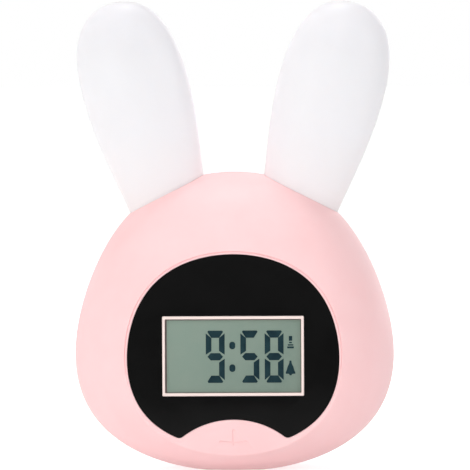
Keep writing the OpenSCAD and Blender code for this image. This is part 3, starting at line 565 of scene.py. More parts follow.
def board_finish():
    """Green solder mask over copper tracks."""
    material, tree, place = start_material("solder_mask")
    stretched = add(tree, "ShaderNodeMapping", {"Vector": place, "Scale": (260.0, 260.0, 520.0)})
    cells = add(
        tree, "ShaderNodeTexVoronoi", {"Vector": stretched, "Scale": 1.0},
        feature="DISTANCE_TO_EDGE", distance="MANHATTAN")
    tracks = spread(tree, cells.outputs["Distance"], 0.04, 0.07, 1.0, 0.0)
    end_material(tree, {
        "Base Color": blend_colours(tree, tracks, srgb(24, 92, 58), srgb(52, 128, 84)),
        "Roughness": wander(tree, noise(tree, place, 1.0), 0.25, 0.4),
        "Normal": bumps(tree, tracks, relief=30),
    })
    return material


def cell_finish():
    """A printed sleeve round each cell: teal with a pale band and bare metal at the ends."""
    material, tree, place = start_material("cell_sleeve")
    across = add(tree, "ShaderNodeSeparateXYZ", {"Vector": place}).outputs["X"]
    reach = add(tree, "ShaderNodeMath", {0: across}, operation="ABSOLUTE")
    band = spread(tree, reach, 12.0 * MM, 12.4 * MM, 0.0, 1.0)
    end = spread(tree, reach, 21.6 * MM, 21.8 * MM, 0.0, 1.0)
    sleeve = blend_colours(tree, band, srgb(206, 226, 218), srgb(42, 122, 110))
    end_material(tree, {
        "Base Color": blend_colours(tree, end, sleeve, srgb(196, 196, 192)),
        "Metallic": end,
        "Roughness": wander(tree, noise(tree, place, 2.0), 0.2, 0.34),
    })
    return material


def metal(name, colour, shade, roughness, brush):
    """Plated metal with faint streaks along X."""
    material, tree, place = start_material(name)
    stretched = add(tree, "ShaderNodeMapping", {"Vector": place, "Scale": (0.15, 1.0, 1.0)})
    streaks = noise(tree, stretched, brush)
    end_material(tree, {
        "Base Color": blend_colours(tree, streaks, srgb(*colour), srgb(*shade)),
        "Metallic": 1.0,
        "Roughness": wander(tree, streaks, roughness - 0.07, roughness + 0.07),
        "Normal": bumps(tree, streaks, relief=3),
    })
    return material


# A paler copy of the head's pink: painted highlight on the display rim's edges
rim_highlight_plastic = finish(
    "rim_highlight_satin", (246, 228, 222), (244, 225, 219), 0.4, 0.3, 3.0, Specular_IOR_Level=0.4)
# The display rim's painted shadow, a thin dark frame laid on the glass
rim_shadow_dark = finish("seal", (92, 78, 76), (104, 90, 88), 0.5, 0.2, 2.0, cloud=3.0)
segment_dark = finish(
    "display_segment", (22, 46, 54), (31, 57, 63), 0.4, 0.2, 1.0, cloud=4.0, Specular_IOR_Level=0.15)

MATERIALS = {
    "head_plastic": finish(
        "pink_satin", (254, 211, 212), (253, 208, 209), 0.46, 0.3, 5.0,
        Subsurface_Weight=0.08, Subsurface_Radius=(1.0, 0.5, 0.45), Subsurface_Scale=1.5 * MM,
        Specular_IOR_Level=0.3),
    "ear_plastic": ear_finish(),
    "panel_black": finish(
        "black_gloss", (17, 17, 17), (19, 19, 19), 0.14, 6.0, 8.0,
        rough_drift=0.03, Specular_IOR_Level=0.16),
    "display_glass": display_finish(),
    "light_guide": finish("light_guide", (240, 242, 244), (232, 235, 238), 0.3, 0.4, 3.0),
    "black_plastic": finish("black_moulding", (26, 26, 27), (33, 33, 34), 0.5, 0.25, 6.0),
    "contact_rubber": finish("contact_rubber", (40, 40, 42), (60, 60, 62), 0.75, 0.15, 8.0, cloud=0.8),
    "board": board_finish(),
    "light_board": finish("white_mask", (238, 238, 234), (228, 229, 226), 0.35, 0.3, 3.0),
    "parts_on_board": finish("chip_package", (30, 30, 31), (42, 42, 43), 0.6, 0.2, 6.0, cloud=3.0),
    "led": finish("led_phosphor", (246, 224, 130), (250, 236, 170), 0.35, 0.3, 3.0, cloud=1.5),
    "steel": metal("zinc_plate", (196, 198, 200), (176, 178, 182), 0.32, 0.5),
    "switch_plastic": finish("ivory_moulding", (232, 228, 212), (224, 219, 202), 0.42, 0.3, 5.0),
    "switch_body": finish("switch_black", (34, 34, 36), (44, 44, 46), 0.5, 0.25, 6.0),
    "button_plastic": finish("button_white", (243, 241, 243), (238, 236, 239), 0.42, 0.25, 4.0),
    "copper": metal("copper_foil", (208, 140, 102), (190, 120, 86), 0.35, 0.6),
    "cell_wrap": cell_finish(),
    "nickel": metal("nickel_plate", (208, 205, 198), (188, 186, 180), 0.25, 0.4),
    "foam": finish("foam", (36, 36, 37), (48, 48, 49), 0.85, 0.35, 40.0, cloud=1.2),
    "cone_paper": finish("cone_paper", (24, 24, 25), (34, 34, 34), 0.8, 0.4, 30.0, cloud=2.0),
    "foot_rubber": finish("foot_rubber", (222, 222, 224), (214, 214, 217), 0.65, 0.3, 8.0),
}


# ---- Ears ----
EAR_SEAT = head_point(EAR_SEAT_ANGLE)


def ear_low(t, inset):
    """Half width, half depth and height of the shade between its foot and its widest place."""
    half_w, half_d = (
        bezier(root, root + swell, wide, wide, t) - inset
        for root, swell, wide in zip(EAR_ROOT, EAR_FOOT_SWELL, EAR_WIDE))
    turn_s = EAR_WIDE_S - EAR_WIDE_PULL
    return half_w, half_d, bezier(EAR_FOOT_S, EAR_FOOT_S + EAR_FOOT_PULL, turn_s, EAR_WIDE_S, t)


def ear_high(t, inset):
    """The same between its widest place and its tip."""
    wide = [size - inset for size in EAR_WIDE]
    half_w, half_d = (bezier(size, size, size * EAR_TIP_FULLNESS, 0, t) for size in wide)
    tip = EAR_LEN - EAR_TIP_TRIM - inset
    return half_w, half_d, bezier(EAR_WIDE_S, lerp(EAR_WIDE_S, tip, EAR_TIP_PULL), tip, tip, t)


def ear_ring(side, section):
    """An ellipse across the ear's leaning axis."""
    half_w, half_d, s = section
    lean = side * EAR_LEAN
    ring = []
    for i in range(EAR_SIDES):
        a = TAU * i / EAR_SIDES
        across = half_w * cos(a)
        x = side * EAR_SEAT[0] + across * cos(lean) + s * sin(lean)
        z = EAR_SEAT[1] - across * sin(lean) + s * cos(lean)
        ring.append((x, half_d * sin(a), z))
    return ring


def ear(side, name, node):
    """A hollow shade, open at its neck."""
    def sections(inset, steps):
        neck = (EAR_ROOT[0] - inset, EAR_ROOT[1] - inset, EAR_NECK_S)
        low = [ear_low(t, inset) for t in steps]
        return [neck, *low] + [ear_high(t * EAR_TIP_SHARE, inset) for t in steps[1:]]

    steps = [i / EAR_RINGS for i in range(EAR_RINGS + 1)]
    inside, outside = sections(EAR_WALL, steps[::3]), sections(0, steps)
    shade = loft(name, [ear_ring(side, section) for section in inside[::-1] + outside])
    dress(shade, "ear_plastic", replaces=[node], sharp=60)


def ear_hole(side):
    """A cutter for the hole in the case, which widens as the shade does."""
    sections = [(EAR_ROOT[0] + EAR_GAP, EAR_ROOT[1] + EAR_GAP, EAR_NECK_S - 4)]
    sections += [ear_low(EAR_HOLE_REACH * i / EAR_RINGS, -EAR_GAP) for i in range(EAR_RINGS + 1)]
    return loft("ear_hole", [ear_ring(side, section) for section in sections])


# ---- Front of the case ----
FACE_Y = -FACE_DEPTH
FACE_INNER_Y = FACE_Y + WALL
RIM_FRONT_Y = FACE_Y - RIM_PROUD
rim_outline = rectangle(0, VIEW_MID_Z, RIM_OUTER_W, RIM_OUTER_H, RIM_CORNER_R)
view_outline = rectangle(0, VIEW_MID_Z, VIEW_W, VIEW_H, VIEW_CORNER_R)


def base_cutter():
    reach = HEAD_HALF_W
    return block(-reach, reach, -reach, reach, -10, BASE_Z)


def foot_discs(name, sides, levels):
    """An upright disc for each foot, through levels of (z, growth)."""
    low, high = box_mm("rubber_feet")
    discs = []
    for x in (low.x + FOOT_R, high.x - FOOT_R):
        for y in (low.y + FOOT_R, high.y - FOOT_R):
            outline = circle(x, y, FOOT_R, sides)
            discs.append(loft(name, [[(px, py, z) for px, py in outline(grow)] for z, grow in levels]))
    return discs


def foot_holes():
    """Cutters for the pockets that hold the feet, from below."""
    top_z = box_mm("rubber_feet")[1].z
    return foot_discs("pocket", 40, [(-1.0, FOOT_GAP), (top_z, FOOT_GAP)])


def arc_band(x, z, r, half_turn, w, steps=28):
    """The outline of a band of breadth w along an arc under the centre (x, z), with round ends."""
    def arc(reach):
        turns = [lerp(-half_turn, half_turn, i / steps) for i in range(steps + 1)]
        return [(x + reach * sin(a), z - reach * cos(a)) for a in turns]

    def end(side):
        """The round end at that side, from the outer arc to the inner one."""
        points = []
        for i in range(1, 2 * ROUND_STEPS):
            b = pi * i / (2 * ROUND_STEPS)
            reach, forward = r + w / 2 * cos(b), w / 2 * sin(b)
            across = reach * sin(half_turn) + forward * cos(half_turn)
            low_z = z - reach * cos(half_turn) + forward * sin(half_turn)
            points.append((x + side * across, low_z))
        return points

    return arc(r + w / 2) + end(1) + arc(r - w / 2)[::-1] + end(-1)[::-1]


def groove_cutter(edge, bottom):
    """A cutter for a groove in the face, from its edge down to the narrow outline of its bottom."""
    levels = ((edge, FACE_Y - 1), (edge, FACE_Y), (bottom, FACE_Y + MOUTH_DEPTH))
    return loft("groove", [at_y(outline, y) for outline, y in levels])


def mouth_cutters():
    """Cutters for the smile and the stem above it. The smile's upper wall and the stem's left one are
    steep, and the opposite ones slope gently."""
    half_turn = asin(MOUTH_LEN / 2 / MOUTH_R)
    centre_z = MOUTH_Z + MOUTH_R
    bottom_off = MOUTH_STEEP_RUN + MOUTH_BOTTOM_W / 2
    bottom_r = MOUTH_R - MOUTH_W / 2 + bottom_off
    smile = groove_cutter(
        arc_band(0, centre_z, MOUTH_R, half_turn, MOUTH_W),
        arc_band(-MOUTH_BOTTOM_SHIFT, centre_z, bottom_r, half_turn, MOUTH_BOTTOM_W))
    stem_h = MOUTH_STEM_TOP_Z - MOUTH_Z + MOUTH_STEM_W / 2
    stem_z = MOUTH_STEM_TOP_Z - stem_h / 2
    bottom_x, bottom_h = bottom_off - MOUTH_STEM_W / 2, stem_h - 2 * MOUTH_STEEP_RUN
    stem = groove_cutter(
        rectangle(0, stem_z, MOUTH_STEM_W, stem_h, MOUTH_STEM_W / 2)(),
        rectangle(bottom_x, stem_z, MOUTH_BOTTOM_W, bottom_h, MOUTH_BOTTOM_W / 2)())
    return smile, stem


def front_case():
    case = loft("front_case", FRONT.shell_rings())
    panel_seat = opening(lambda grow: panel_outline(grow + PANEL_GAP), FACE_Y, 1, PANEL_T, lip=0.1)
    carve(case, join("cutters", [panel_seat, base_cutter(), ear_hole(-1), ear_hole(1)]))
    window = straight("window", rim_outline, FACE_Y - 2, FACE_INNER_Y + 2)
    smile, stem = mouth_cutters()
    carve(case, join("cutters", [window, smile, *foot_holes()]))
    carve(case, stem)
    dress(case, "head_plastic", replaces=["front_shell"])


def display_rim():
    """The raised rim round the display: a frame with soft edges, from the glass to its proud front."""
    levels = soft_levels(RIM_FRONT_Y, FACE_INNER_Y, RIM_EDGE_R)
    rings = [at_y(rim_outline(grow), y) for y, grow in levels[::-1]]
    rings += [at_y(view_outline(-grow), y) for y, grow in levels]
    dress(loft("display_rim", rings, closed=True), "head_plastic", material=rim_highlight_plastic)


def display_rim_shadow():
    """A thin dark frame on the display's edge: the rim's painted shadow, broader at the left and the
    top.
    """
    front_y = box_mm("lcd_glass")[0].y - FIGURE_T / 2
    half_w, half_h = VIEW_W / 2 - PANEL_GAP, VIEW_H / 2 - PANEL_GAP

    def corners(left=0.0, right=0.0, bottom=0.0, top=0.0):
        x0, x1 = -half_w + left, half_w - right
        z0, z1 = VIEW_MID_Z + (-half_h + bottom), VIEW_MID_Z + (half_h - top)
        return [(x0, z0), (x1, z0), (x1, z1), (x0, z1)]

    outer, inner = corners(), corners(left=0.5, right=0.12, bottom=0.1, top=0.24)
    back_y = front_y + FIGURE_T
    rings = [at_y(outer, front_y), at_y(outer, back_y), at_y(inner, back_y), at_y(inner, front_y)]
    dress(loft("display_rim_shadow", rings, closed=True), "display_glass", material=rim_shadow_dark)


def face_panel():
    back_y = FACE_Y + PANEL_T
    panel = along_y("black_face_panel", panel_outline, soft_levels(FACE_Y, back_y, PANEL_EDGE_R))
    carve(panel, straight("hole", rim_outline, FACE_Y - 1, back_y + 1, PANEL_HOLE_GAP))
    dress(panel, "panel_black", replaces=["face_panel"])


# ---- Figures on the display ----
DIGIT_W = 6.5
DIGIT_H = 18.0
DIGIT_LOW_Z = 31.45
SEGMENT_W = 1.95
SEGMENT_H = 2.5
SEGMENT_TIP = 0.55
SEGMENT_RUN = 1.32
SEGMENT_SHOULDER = 0.95
SEGMENT_WAIST = 0.68
FIGURE_T = 0.06
# Each digit's lit segments and its left side
DIGITS = (("abcdfg", -9.4), ("acdfg", 2.5), ("abcdefg", 10.85))
COLON_X = -0.28
COLON_DOTS_Z = (44.3, 36.5)
COLON_DOT_SIZE = (2.05, 2.6, 0.95)
# A small lamp over a bell, at the right: each of the lamp's bars as its half width and its two heights,
# and the right half of the bell's outline from its foot up
LAMP_X = 19.75
LAMP_BARS = ((0.58, 45.85, 47.5), (0.45, 45.0, 45.5), (0.95, 44.2, 44.65), (1.15, 43.25, 43.9))
BELL_FOOT = (19.7, 33.95)
BELL_HALF = (
    (0.38, 0.0), (0.45, 0.5), (1.7, 0.55), (1.66, 1.0),
    (1.25, 2.0), (0.95, 3.1), (0.45, 4.1), (0.32, 5.1))


def segments():
    """The corners of a digit's seven segments, from its lower left corner."""
    w, h, middle = DIGIT_W, DIGIT_H, DIGIT_H / 2
    tip, far, run, waist = SEGMENT_TIP, DIGIT_W - SEGMENT_TIP, SEGMENT_RUN, SEGMENT_H / 2
    chamfer_w, chamfer_h, upper_slope, lower_slope = 0.3, 0.45, 1.65, 1.3
    top = [(tip + chamfer_w, h), (far - chamfer_w, h), (far, h - chamfer_h),
           (far - run, h - SEGMENT_H), (tip + run, h - SEGMENT_H), (tip, h - chamfer_h)]
    left, right = tip + run * 0.85, far - run * 0.85
    bar = [(tip, middle), (left, middle + waist), (right, middle + waist),
           (far, middle), (right, middle - waist), (left, middle - waist)]
    post = [(0, middle + SEGMENT_WAIST), (0, h - SEGMENT_SHOULDER),
            (SEGMENT_W, h - SEGMENT_SHOULDER - upper_slope),
            (SEGMENT_W, middle + SEGMENT_WAIST + lower_slope)]

    def flip_x(points):
        return [(w - x, z) for x, z in points]

    def flip_z(points):
        return [(x, h - z) for x, z in points]

    return {
        "a": top, "b": flip_x(post), "c": flip_z(flip_x(post)), "d": flip_z(top),
        "e": flip_z(post), "f": post, "g": bar,
    }


def round_corners(points, r, steps=3):
    """A polygon with its corners rounded off by short curves."""
    rounded = []
    for i, (x, z) in enumerate(points):
        here = Vector((x, z))
        before = Vector(points[i - 1]) - here
        after = Vector(points[(i + 1) % len(points)]) - here
        start = here + before.normalized() * min(r, before.length / 2.2)
        end = here + after.normalized() * min(r, after.length / 2.2)
        for k in range(steps + 1):
            t = k / steps
            rounded.append(tuple(start * (1 - t) ** 2 + here * 2 * t * (1 - t) + end * t * t))
    return rounded


def figure(points, front_y, corner_r=0.12):
    """A thin dark shape that lies in the front of the display."""
    outline = round_corners(points, corner_r)
    return loft("figure", [at_y(outline, front_y + side * FIGURE_T / 2) for side in (-1, 1)])


def display_figures():
    front_y = box_mm("lcd_glass")[0].y
    shapes = segments()
    parts = []
    for lit, left in DIGITS:
        for name in lit:
            parts.append(figure([(left + x, DIGIT_LOW_Z + z) for x, z in shapes[name]], front_y))
    for z in COLON_DOTS_Z:
        parts.append(figure(rectangle(COLON_X, z, *COLON_DOT_SIZE)(), front_y, 0.05))
    for half_w, low, high in LAMP_BARS:
        left, right = LAMP_X - half_w, LAMP_X + half_w
        parts.append(figure([(left, low), (right, low), (right, high), (left, high)], front_y, 0.1))
    bell_x, bell_z = BELL_FOOT
    bell = [(bell_x + x, bell_z + z) for x, z in BELL_HALF]
    bell += [(bell_x - x, bell_z + z) for x, z in reversed(BELL_HALF)]
    parts.append(figure(bell, front_y, 0.2))
    dress(join("display_figures", parts), "display_glass", material=segment_dark)


# ---- Rear of the case ----
BACK_Y = BACK_DEPTH
BACK_INNER_Y = BACK_Y - WALL
THROUGH_WALL = WALL + 1
DOOR_T = 2.0
DOOR_R = 4.0
DOOR_GAP = 0.2
DOOR_TAB_R = 4.0
DOOR_LEDGE = 1.5
DOOR_INNER_Y = BACK_Y - DOOR_T
DOOR_SCREW_HOLE_R = 1.2
DOOR_SCREW_HOLE_L = 7.0
DOOR_SCREW_BOSS_R = 2.6
DOOR_SCREW_BOSS_L = 7.5
TUB_WALL = 3.0
TUB_FLOOR = 1.5
CELL_GAP = 0.1
BUTTONS = ("time", "alarm", "up", "down", "light")
BUTTON_CAP_R = 3.8
BUTTON_HOLE_R = 3.9
CASE_POSTS = ((-30, 71), (30, 71), (-34.5, 26), (34.5, 26))
CASE_POST_R = 4.3
CASE_HEAD_R = 3.0
CASE_HEAD_Y = 8.0
CASE_SCREW_R = 1.45
SWITCH_TRAVEL = 3.0
SWITCH_GAP = 0.15
SOCKET_GAP = 0.3


class Door:
    """The battery door's outline: a plate with a tab for its screw."""

    def __init__(self):
        low, high = box_mm("battery_door")
        self.screw = middle_xz("battery_door_screw")
        self.half_w = -low.x
        self.mid_z = (low.z + high.z) / 2
        self.half_h = (high.z - low.z) / 2

    def outline(self, grow=0.0):
        right, tab, tab_steps = self.half_w + grow, DOOR_TAB_R + grow, 20
        x, z = self.screw
        points = rectangle(0, self.mid_z, 2 * self.half_w, 2 * self.half_h, DOOR_R, steps=10)(grow)
        points.append((right, z - tab))
        for i in range(tab_steps + 1):
            a = pi * (i / tab_steps - 0.5)
            points.append((x + tab * cos(a), z + tab * sin(a)))
        points.append((right, z + tab))
        return points


door = Door()
door_screw_hole = circle(*door.screw, DOOR_SCREW_HOLE_R, 24)
BAY_HALF_W = door.half_w - DOOR_LEDGE
BAY_HALF_H = door.half_h - DOOR_LEDGE
BAY_FLOOR_Y = box_mm("battery_cells")[0].y - CELL_GAP


def grille_outlines():
    """Round holes on a triangular grid, within a circle."""
    middle_z = middle_xz("speaker_cone")[1]
    pitch, hole_r, reach = 3.1, 0.9, 6.5
    for i in range(-3, 4):
        for j in range(-3, 4):
            x, z = pitch * (i + j / 2), pitch * j * sqrt(3) / 2
            if hypot(x, z) < reach:
                yield circle(x, middle_z + z, hole_r, 24)


def rear_opening(outline, lip, depth=THROUGH_WALL, floor_r=0.0):
    return opening(outline, BACK_Y, -1, depth, lip, floor_r)


def post_circles(r, sides=48):
    return [circle(x, z, r, sides) for x, z in CASE_POSTS]


def slot_outlines():
    """The slide switch's slot, with room for its travel, and the charging socket's hole."""
    low, high = box_mm("alarm_switch_knob")
    w, h = high.x - low.x + SWITCH_TRAVEL + 2 * SWITCH_GAP, high.z - low.z + 2 * SWITCH_GAP
    slot = rectangle(low.x + w / 2 - SWITCH_GAP, (low.z + high.z) / 2, w, h, 0.2)
    low, high = box_mm("charge_socket")
    w, h = high.x - low.x + 2 * SOCKET_GAP, high.z - low.z + 2 * SOCKET_GAP
    return slot, rectangle(*middle_xz("charge_socket"), w, h, h / 2)


def rear_case():
    case = loft("rear_case", REAR.shell_rings())
    reach_w, reach_h = BAY_HALF_W + TUB_WALL, BAY_HALF_H + TUB_WALL
    root_y = BACK_INNER_Y + 1
    tub = block(-reach_w, reach_w, BAY_FLOOR_Y - TUB_FLOOR, root_y,
                door.mid_z - reach_h, door.mid_z + reach_h)
    turns = [REAR.turn * i / CAVITY_RINGS for i in range(CAVITY_RINGS + 1)]
    carve(tub, loft("core", [REAR.ring(turn, inset=WALL / 2) for turn in turns]), "INTERSECT")
    carve(case, tub, "UNION")
    boss = circle(*door.screw, DOOR_SCREW_BOSS_R)
    carve(case, straight("boss", boss, DOOR_INNER_Y - DOOR_SCREW_BOSS_L, root_y), "UNION")
    posts = [straight("post", outline, 0.0, root_y) for outline in post_circles(CASE_POST_R, 40)]
    carve(case, join("posts", posts), "UNION")

    switch_slot, socket_hole = slot_outlines()
    head_depth = BACK_Y - CASE_HEAD_Y
    cutters = [base_cutter(), ear_hole(-1), ear_hole(1)]
    cutters += [rear_opening(outline, lip=0.15) for outline in grille_outlines()]
    cutters += [rear_opening(outline, 0.25, head_depth) for outline in post_circles(CASE_HEAD_R)]
    for name in BUTTONS:
        hole = circle(*middle_xz(name + "_button"), BUTTON_HOLE_R, 64)
        cutters.append(rear_opening(hole, lip=0.2))
    cutters += [rear_opening(switch_slot, lip=0.2), rear_opening(socket_hole, lip=0.25)]
    cutters.append(rear_opening(lambda grow: door.outline(grow + DOOR_GAP), lip=0.2, depth=DOOR_T))
    carve(case, join("cutters", cutters))

    bay = block(-BAY_HALF_W, BAY_HALF_W, BAY_FLOOR_Y, DOOR_INNER_Y + 1,
                door.mid_z - BAY_HALF_H, door.mid_z + BAY_HALF_H)
    cutters = [bay, straight("hole", door_screw_hole, DOOR_INNER_Y - DOOR_SCREW_HOLE_L, BACK_Y)]
    for outline in post_circles(CASE_SCREW_R, 24):
        cutters.append(straight("hole", outline, -2.0, CASE_HEAD_Y + 1))
    carve(case, join("cutters", cutters + foot_holes()))
    dress(case, "head_plastic", replaces=["rear_shell"])


def button_caps():
    """White caps with a soft edge and a shallow dish for the finger, on a flange that holds them in."""
    flange_t, edge_r, dish_r, dish_depth, dish_rings = 1.0, 0.6, 3.0, 0.3, 8
    for name in BUTTONS:
        node = name + "_button"
        low, high = box_mm(node)
        flange = (high.x - low.x) / 2 - BUTTON_CAP_R
        levels = [(low.y, flange), (low.y + flange_t, flange), (low.y + flange_t, 0.0)]
        levels += soft_levels(low.y + flange_t, high.y, high_r=edge_r)[1:]
        # The last ring stops just short of a point
        for i in range(1, dish_rings + 1):
            share = i / (dish_rings + 0.2)
            y = high.y - dish_depth * (1 - (1 - share) ** 2)
            levels.append((y, dish_r * (1 - share) - BUTTON_CAP_R))
        cap = along_y(name + "_cap", circle(*middle_xz(node), BUTTON_CAP_R, 64), levels)
        dress(cap, "button_plastic", body=node, replaces=[node])


def alarm_slider():
    """The slide switch's knob with three rounded ridges."""
    low, high = box_mm("alarm_switch_knob")
    x, z = middle_xz("alarm_switch_knob")
    w, h = high.x - low.x, high.z - low.z
    ridge_w, ridge_h, ridge_end, ridge_root, pitch = 0.4, 0.3, 0.15, 0.1, 1.0
    top_y = high.y - ridge_h
    parts = [along_y("knob", rectangle(x, z, w, h, r=0.25), soft_levels(low.y, top_y, high_r=0.2))]
    for step in (-1, 0, 1):
        ridge = rectangle(x + step * pitch, z, ridge_w, h - 2 * ridge_end, r=0.19)
        parts.append(along_y("ridge", ridge, soft_levels(top_y - ridge_root, high.y, high_r=0.15)))
    dress(join("alarm_slider", parts), "button_plastic", "alarm_switch", ["alarm_switch_knob"])


def battery_door():
    """The door with its finger grip, the sunk hole for its screw and a low rim inside."""
    plate = along_y("battery_cover", door.outline, soft_levels(DOOR_INNER_Y, BACK_Y, high_r=0.25))
    sink_r, sink_depth = 2.4, 1.1
    cutters = [rear_opening(circle(*door.screw, sink_r), lip=0.2, depth=sink_depth)]
    grip_z, grip_pitch, grip_w, grip_h = door.mid_z - BAY_HALF_H + 5, 1.8, 14, 0.8
    for i in (-1, 0, 1):
        groove = rectangle(0, grip_z + grip_pitch * i, grip_w, grip_h, grip_h / 2)
        cutters.append(rear_opening(groove, lip=0.15, depth=0.5, floor_r=0.25))
    carve(plate, join("cutters", cutters))
    carve(plate, straight("hole", door_screw_hole, DOOR_INNER_Y - 1, BACK_Y))
    rim_gap, rim_w, rim_h, rim_root = 0.1, 1.0, 1.0, 0.3
    low_y, high_y = DOOR_INNER_Y - rim_h, DOOR_INNER_Y + rim_root
    outer, inner = (
        rectangle(0, door.mid_z, 2 * (BAY_HALF_W - inset), 2 * (BAY_HALF_H - inset), r=0.3)()
        for inset in (rim_gap, rim_gap + rim_w))
    rings = [at_y(outer, low_y), at_y(outer, high_y), at_y(inner, high_y), at_y(inner, low_y)]
    carve(plate, loft("rim", rings, closed=True), "UNION")
    dress(plate, "head_plastic", body="battery_door", replaces=["battery_door"])


def cross_cutter(x, z, top_y, reach, w, depth):
    """A driver's cross, cut from top_y inwards."""
    arms = []
    for half_w, half_h in ((reach, w / 2), (w / 2, reach)):
        arms.append(block(x - half_w, x + half_w, top_y - depth, top_y + 1, z - half_h, z + half_h))
    return carve(arms[0], arms[1], "UNION")


def door_screw():
    """A pan-head screw with its thread."""
    low, high = box_mm("battery_door_screw")
    thread_r, pitch, head_r, head_t, tip_l = 1.1, 0.45, 2.1, 1.0, 0.5
    # How far the tip, its shoulder, the thread's root and the neck lie inside its crest
    tip_cut, shoulder_cut, root_cut, neck_cut = 0.6, 0.15, 0.2, 0.1
    neck_y, brim = high.y - head_t, head_r - thread_r
    levels = [(low.y, -tip_cut), (low.y + tip_l, -shoulder_cut)]
    for i in range(int((neck_y - low.y - 2 * tip_l) / pitch)):
        y = low.y + tip_l + 0.1 + i * pitch
        levels += [(y, -root_cut), (y + pitch / 2, 0.0)]
    levels += [(neck_y, -neck_cut), (neck_y, brim)]
    levels += [(y, brim + grow) for y, grow in soft_levels(neck_y, high.y, high_r=0.4)[1:]]
    screw = along_y("door_screw", circle(*door.screw, thread_r, 40), levels)
    carve(screw, cross_cutter(*door.screw, high.y, reach=1.4, w=0.5, depth=0.5))
    dress(screw, "steel", body="battery_door", replaces=["battery_door_screw"])


def feet():
    low, high = box_mm("rubber_feet")
    pads = foot_discs("foot", 48, soft_levels(low.z, high.z, low_r=0.15))
    dress(join("rubber_pads", pads), "foot_rubber", replaces=["rubber_feet"])


def springs():
    """Battery springs wound from round wire, each narrowing towards its cell."""
    low, high = box_mm("battery_springs")
    cells_low, cells_high = box_mm("battery_cells")
    cell_d, wire_r, base_r, end_r, length = 10.5, 0.3, 3.8, 2.2, 5.7
    turns, sides, steps = 3, 12, 96
    middle_z = (cells_low.z + cells_high.z) / 2
    pitch = (cells_high.z - cells_low.z - cell_d) / 2
    middle_y = (cells_low.y + cells_high.y) / 2
    parts = []
    # The middle cell lies the other way round
    for i in (-1, 0, 1):
        rings = []
        for k in range(steps + 1):
            t = k / steps
            turn = TAU * turns * t
            r = lerp(base_r, end_r, t)
            x = lerp(wire_r, length - wire_r, t)
            ring = []
            for j in range(sides):
                a = TAU * j / sides
                reach = r + wire_r * cos(a)
                along = x + wire_r * sin(a)
                px = low.x + along if i == 0 else high.x - along
                pz = middle_z + i * pitch + reach * sin(turn)
                ring.append((px, middle_y + reach * cos(turn), pz))
            rings.append(ring)
        parts.append(loft("spring", rings))
    dress(join("cell_springs", parts), "nickel", replaces=["battery_springs"])


# ---- Pieces that the CAD already has in their right shape ----
def dress_frame_nodes():
    for piece in nodes.values():
        for holder in piece.material_slots:
            name = holder.material.name.split(".")[0] if holder.material else ""
            if name in MATERIALS:
                holder.material = MATERIALS[name]


# ---- Stage, light and camera ----
WHITE = (1.0, 1.0, 1.0, 1.0)
FLOOR_WHITE = (0.8, 0.8, 0.8, 1.0)
FLOOR_GLOW = 0.6
FLOOR_HALF_W = 3.0
LAMP_AIM = Vector((0, 0, 0.07))


def light_table():
    """A white floor that glows: it keeps the object's shadow, looks white to the camera and is dark in
    what the front of the object mirrors. It throws less light at the right."""
    material, tree, place = start_material("floor")
    paths = add(tree, "ShaderNodeLightPath").outputs
    parts = add(tree, "ShaderNodeSeparateXYZ", {"Vector": place}).outputs
    mirror = spread(tree, parts["Y"], -0.3, 0.1, 0.02, 1.0)
    light = spread(tree, parts["X"], -0.1, 0.3, 0.31, 0.2)
    glow = spread(tree, paths["Is Camera Ray"], 0.0, 1.0, light, FLOOR_GLOW)
    plain = add(tree, "ShaderNodeBsdfDiffuse", {"Color": FLOOR_WHITE})
    shine = add(tree, "ShaderNodeEmission", {"Strength": glow})
    lit = add(tree, "ShaderNodeAddShader", {0: plain, 1: shine})
    mirrored = add(tree, "ShaderNodeEmission", {"Strength": mirror})
    shown = add(tree, "ShaderNodeMixShader", {0: paths["Is Glossy Ray"], 1: lit, 2: mirrored})
    add(tree, "ShaderNodeOutputMaterial", {"Surface": shown})
    half = FLOOR_HALF_W
    corners = [(-half, -half, 0), (half, -half, 0), (half, half, 0), (-half, half, 0)]
    mesh = bpy.data.meshes.new("floor")
    mesh.from_pydata(corners, [], [(0, 1, 2, 3)])
    mesh.materials.append(material)
    piece = show("floor", mesh)


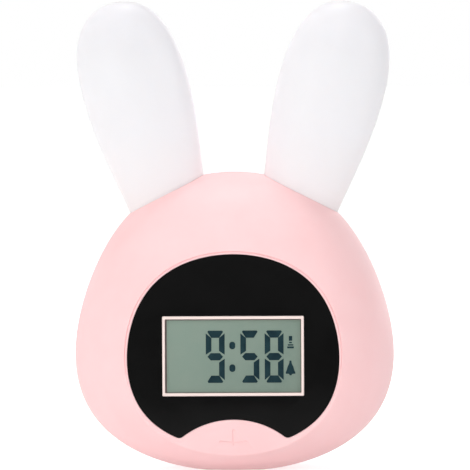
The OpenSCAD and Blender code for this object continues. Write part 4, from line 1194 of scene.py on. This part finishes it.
def world():
    """A white room: full white to the camera, and softer as light on the object. Mirrored, it is dim in
    front of the object. As light it falls off and cools a little towards the right."""
    scene_world = bpy.data.worlds.new("studio")
    scene_world.use_nodes = True
    tree = scene_world.node_tree
    tree.nodes.clear()
    paths = add(tree, "ShaderNodeLightPath").outputs
    direction = add(tree, "ShaderNodeTexCoord").outputs["Generated"]
    parts = add(tree, "ShaderNodeSeparateXYZ", {"Vector": direction}).outputs
    behind = spread(tree, parts["Y"], -0.9, 0.2, 0.1, 1.0)
    ambient = spread(tree, parts["X"], -1.0, 1.0, 1.0, 0.1)
    rightwards = spread(tree, parts["X"], -0.3, 1.0, 0.0, 1.0)
    tint = blend_colours(tree, rightwards, (1.0, 0.99, 0.98, 1.0), (0.985, 0.98, 1.0, 1.0))
    room = add(tree, "ShaderNodeBackground", {"Color": tint, "Strength": ambient})
    mirror = add(tree, "ShaderNodeBackground", {"Color": WHITE, "Strength": behind})
    backdrop = add(tree, "ShaderNodeBackground", {"Color": WHITE, "Strength": 1.0})
    sockets = {0: paths["Is Glossy Ray"], 1: room, 2: mirror}
    lighting = add(tree, "ShaderNodeMixShader", sockets)
    rays = {0: paths["Is Camera Ray"], 1: paths["Is Transmission Ray"]}
    seen = add(tree, "ShaderNodeMath", rays, operation="MAXIMUM")
    sockets = {0: seen, 1: lighting, 2: backdrop}
    shown = add(tree, "ShaderNodeMixShader", sockets)
    add(tree, "ShaderNodeOutputWorld", {"Surface": shown})
    bpy.context.scene.world = scene_world


def lamp(name, place, size, power, colour=(1.0, 1.0, 1.0)):
    """A soft square lamp that looks at the middle of the object."""
    data = bpy.data.lights.new(name, "AREA")
    data.size = size
    data.energy = power
    data.color = colour
    piece = show(name, data)
    piece.location = place
    aim = LAMP_AIM - Vector(place)
    piece.rotation_euler = aim.to_track_quat("-Z", "Y").to_euler()


CAMERA_DISTANCE = 6.0
CAMERA_YAW = radians(0.93)
CAMERA_RISE = radians(3.0)
CAMERA_ROLL = radians(0.29)
CAMERA_AIM = Vector((0.31 * MM, 0, 80.6 * MM))
PICTURE_WIDTH = 162.4 * MM


def camera():
    data = bpy.data.cameras.new("camera")
    data.sensor_width = 36.0
    data.lens = data.sensor_width * CAMERA_DISTANCE / PICTURE_WIDTH
    data.clip_start = 0.1
    data.clip_end = 50.0
    piece = show("camera", data)
    yaw, rise = CAMERA_YAW, CAMERA_RISE
    back = Vector((sin(yaw) * cos(rise), -cos(yaw) * cos(rise), sin(rise)))
    piece.location = CAMERA_AIM + back * CAMERA_DISTANCE
    look = (-back).to_track_quat("-Z", "Y")
    piece.rotation_mode = "QUATERNION"
    piece.rotation_quaternion = look @ Quaternion((0, 0, 1), -CAMERA_ROLL)
    bpy.context.scene.camera = piece


camera()
dress_frame_nodes()
ear(-1, "left_ear_shade", "left_ear")
ear(1, "right_ear_shade", "right_ear")
front_case()
display_rim()
display_rim_shadow()
face_panel()
display_figures()
rear_case()
button_caps()
alarm_slider()
battery_door()
door_screw()
feet()
springs()
light_table()
world()
lamp("left", (-1.1, -1.3, 0.3), size=1.0, power=4.8, colour=(1.0, 0.995, 0.985))
lamp("right", (1.3, -0.9, 0.65), size=0.8, power=6.2, colour=(0.985, 0.985, 1.0))
lamp("front", (0.0, -1.2, 1.2), size=0.6, power=4.6)
lamp("top", (0.0, 0.2, 1.2), size=0.3, power=3.1)
lamp("back", (0.7, 1.4, 0.5), size=1.0, power=3.2)
bpy.context.scene.view_settings.view_transform = "Standard"
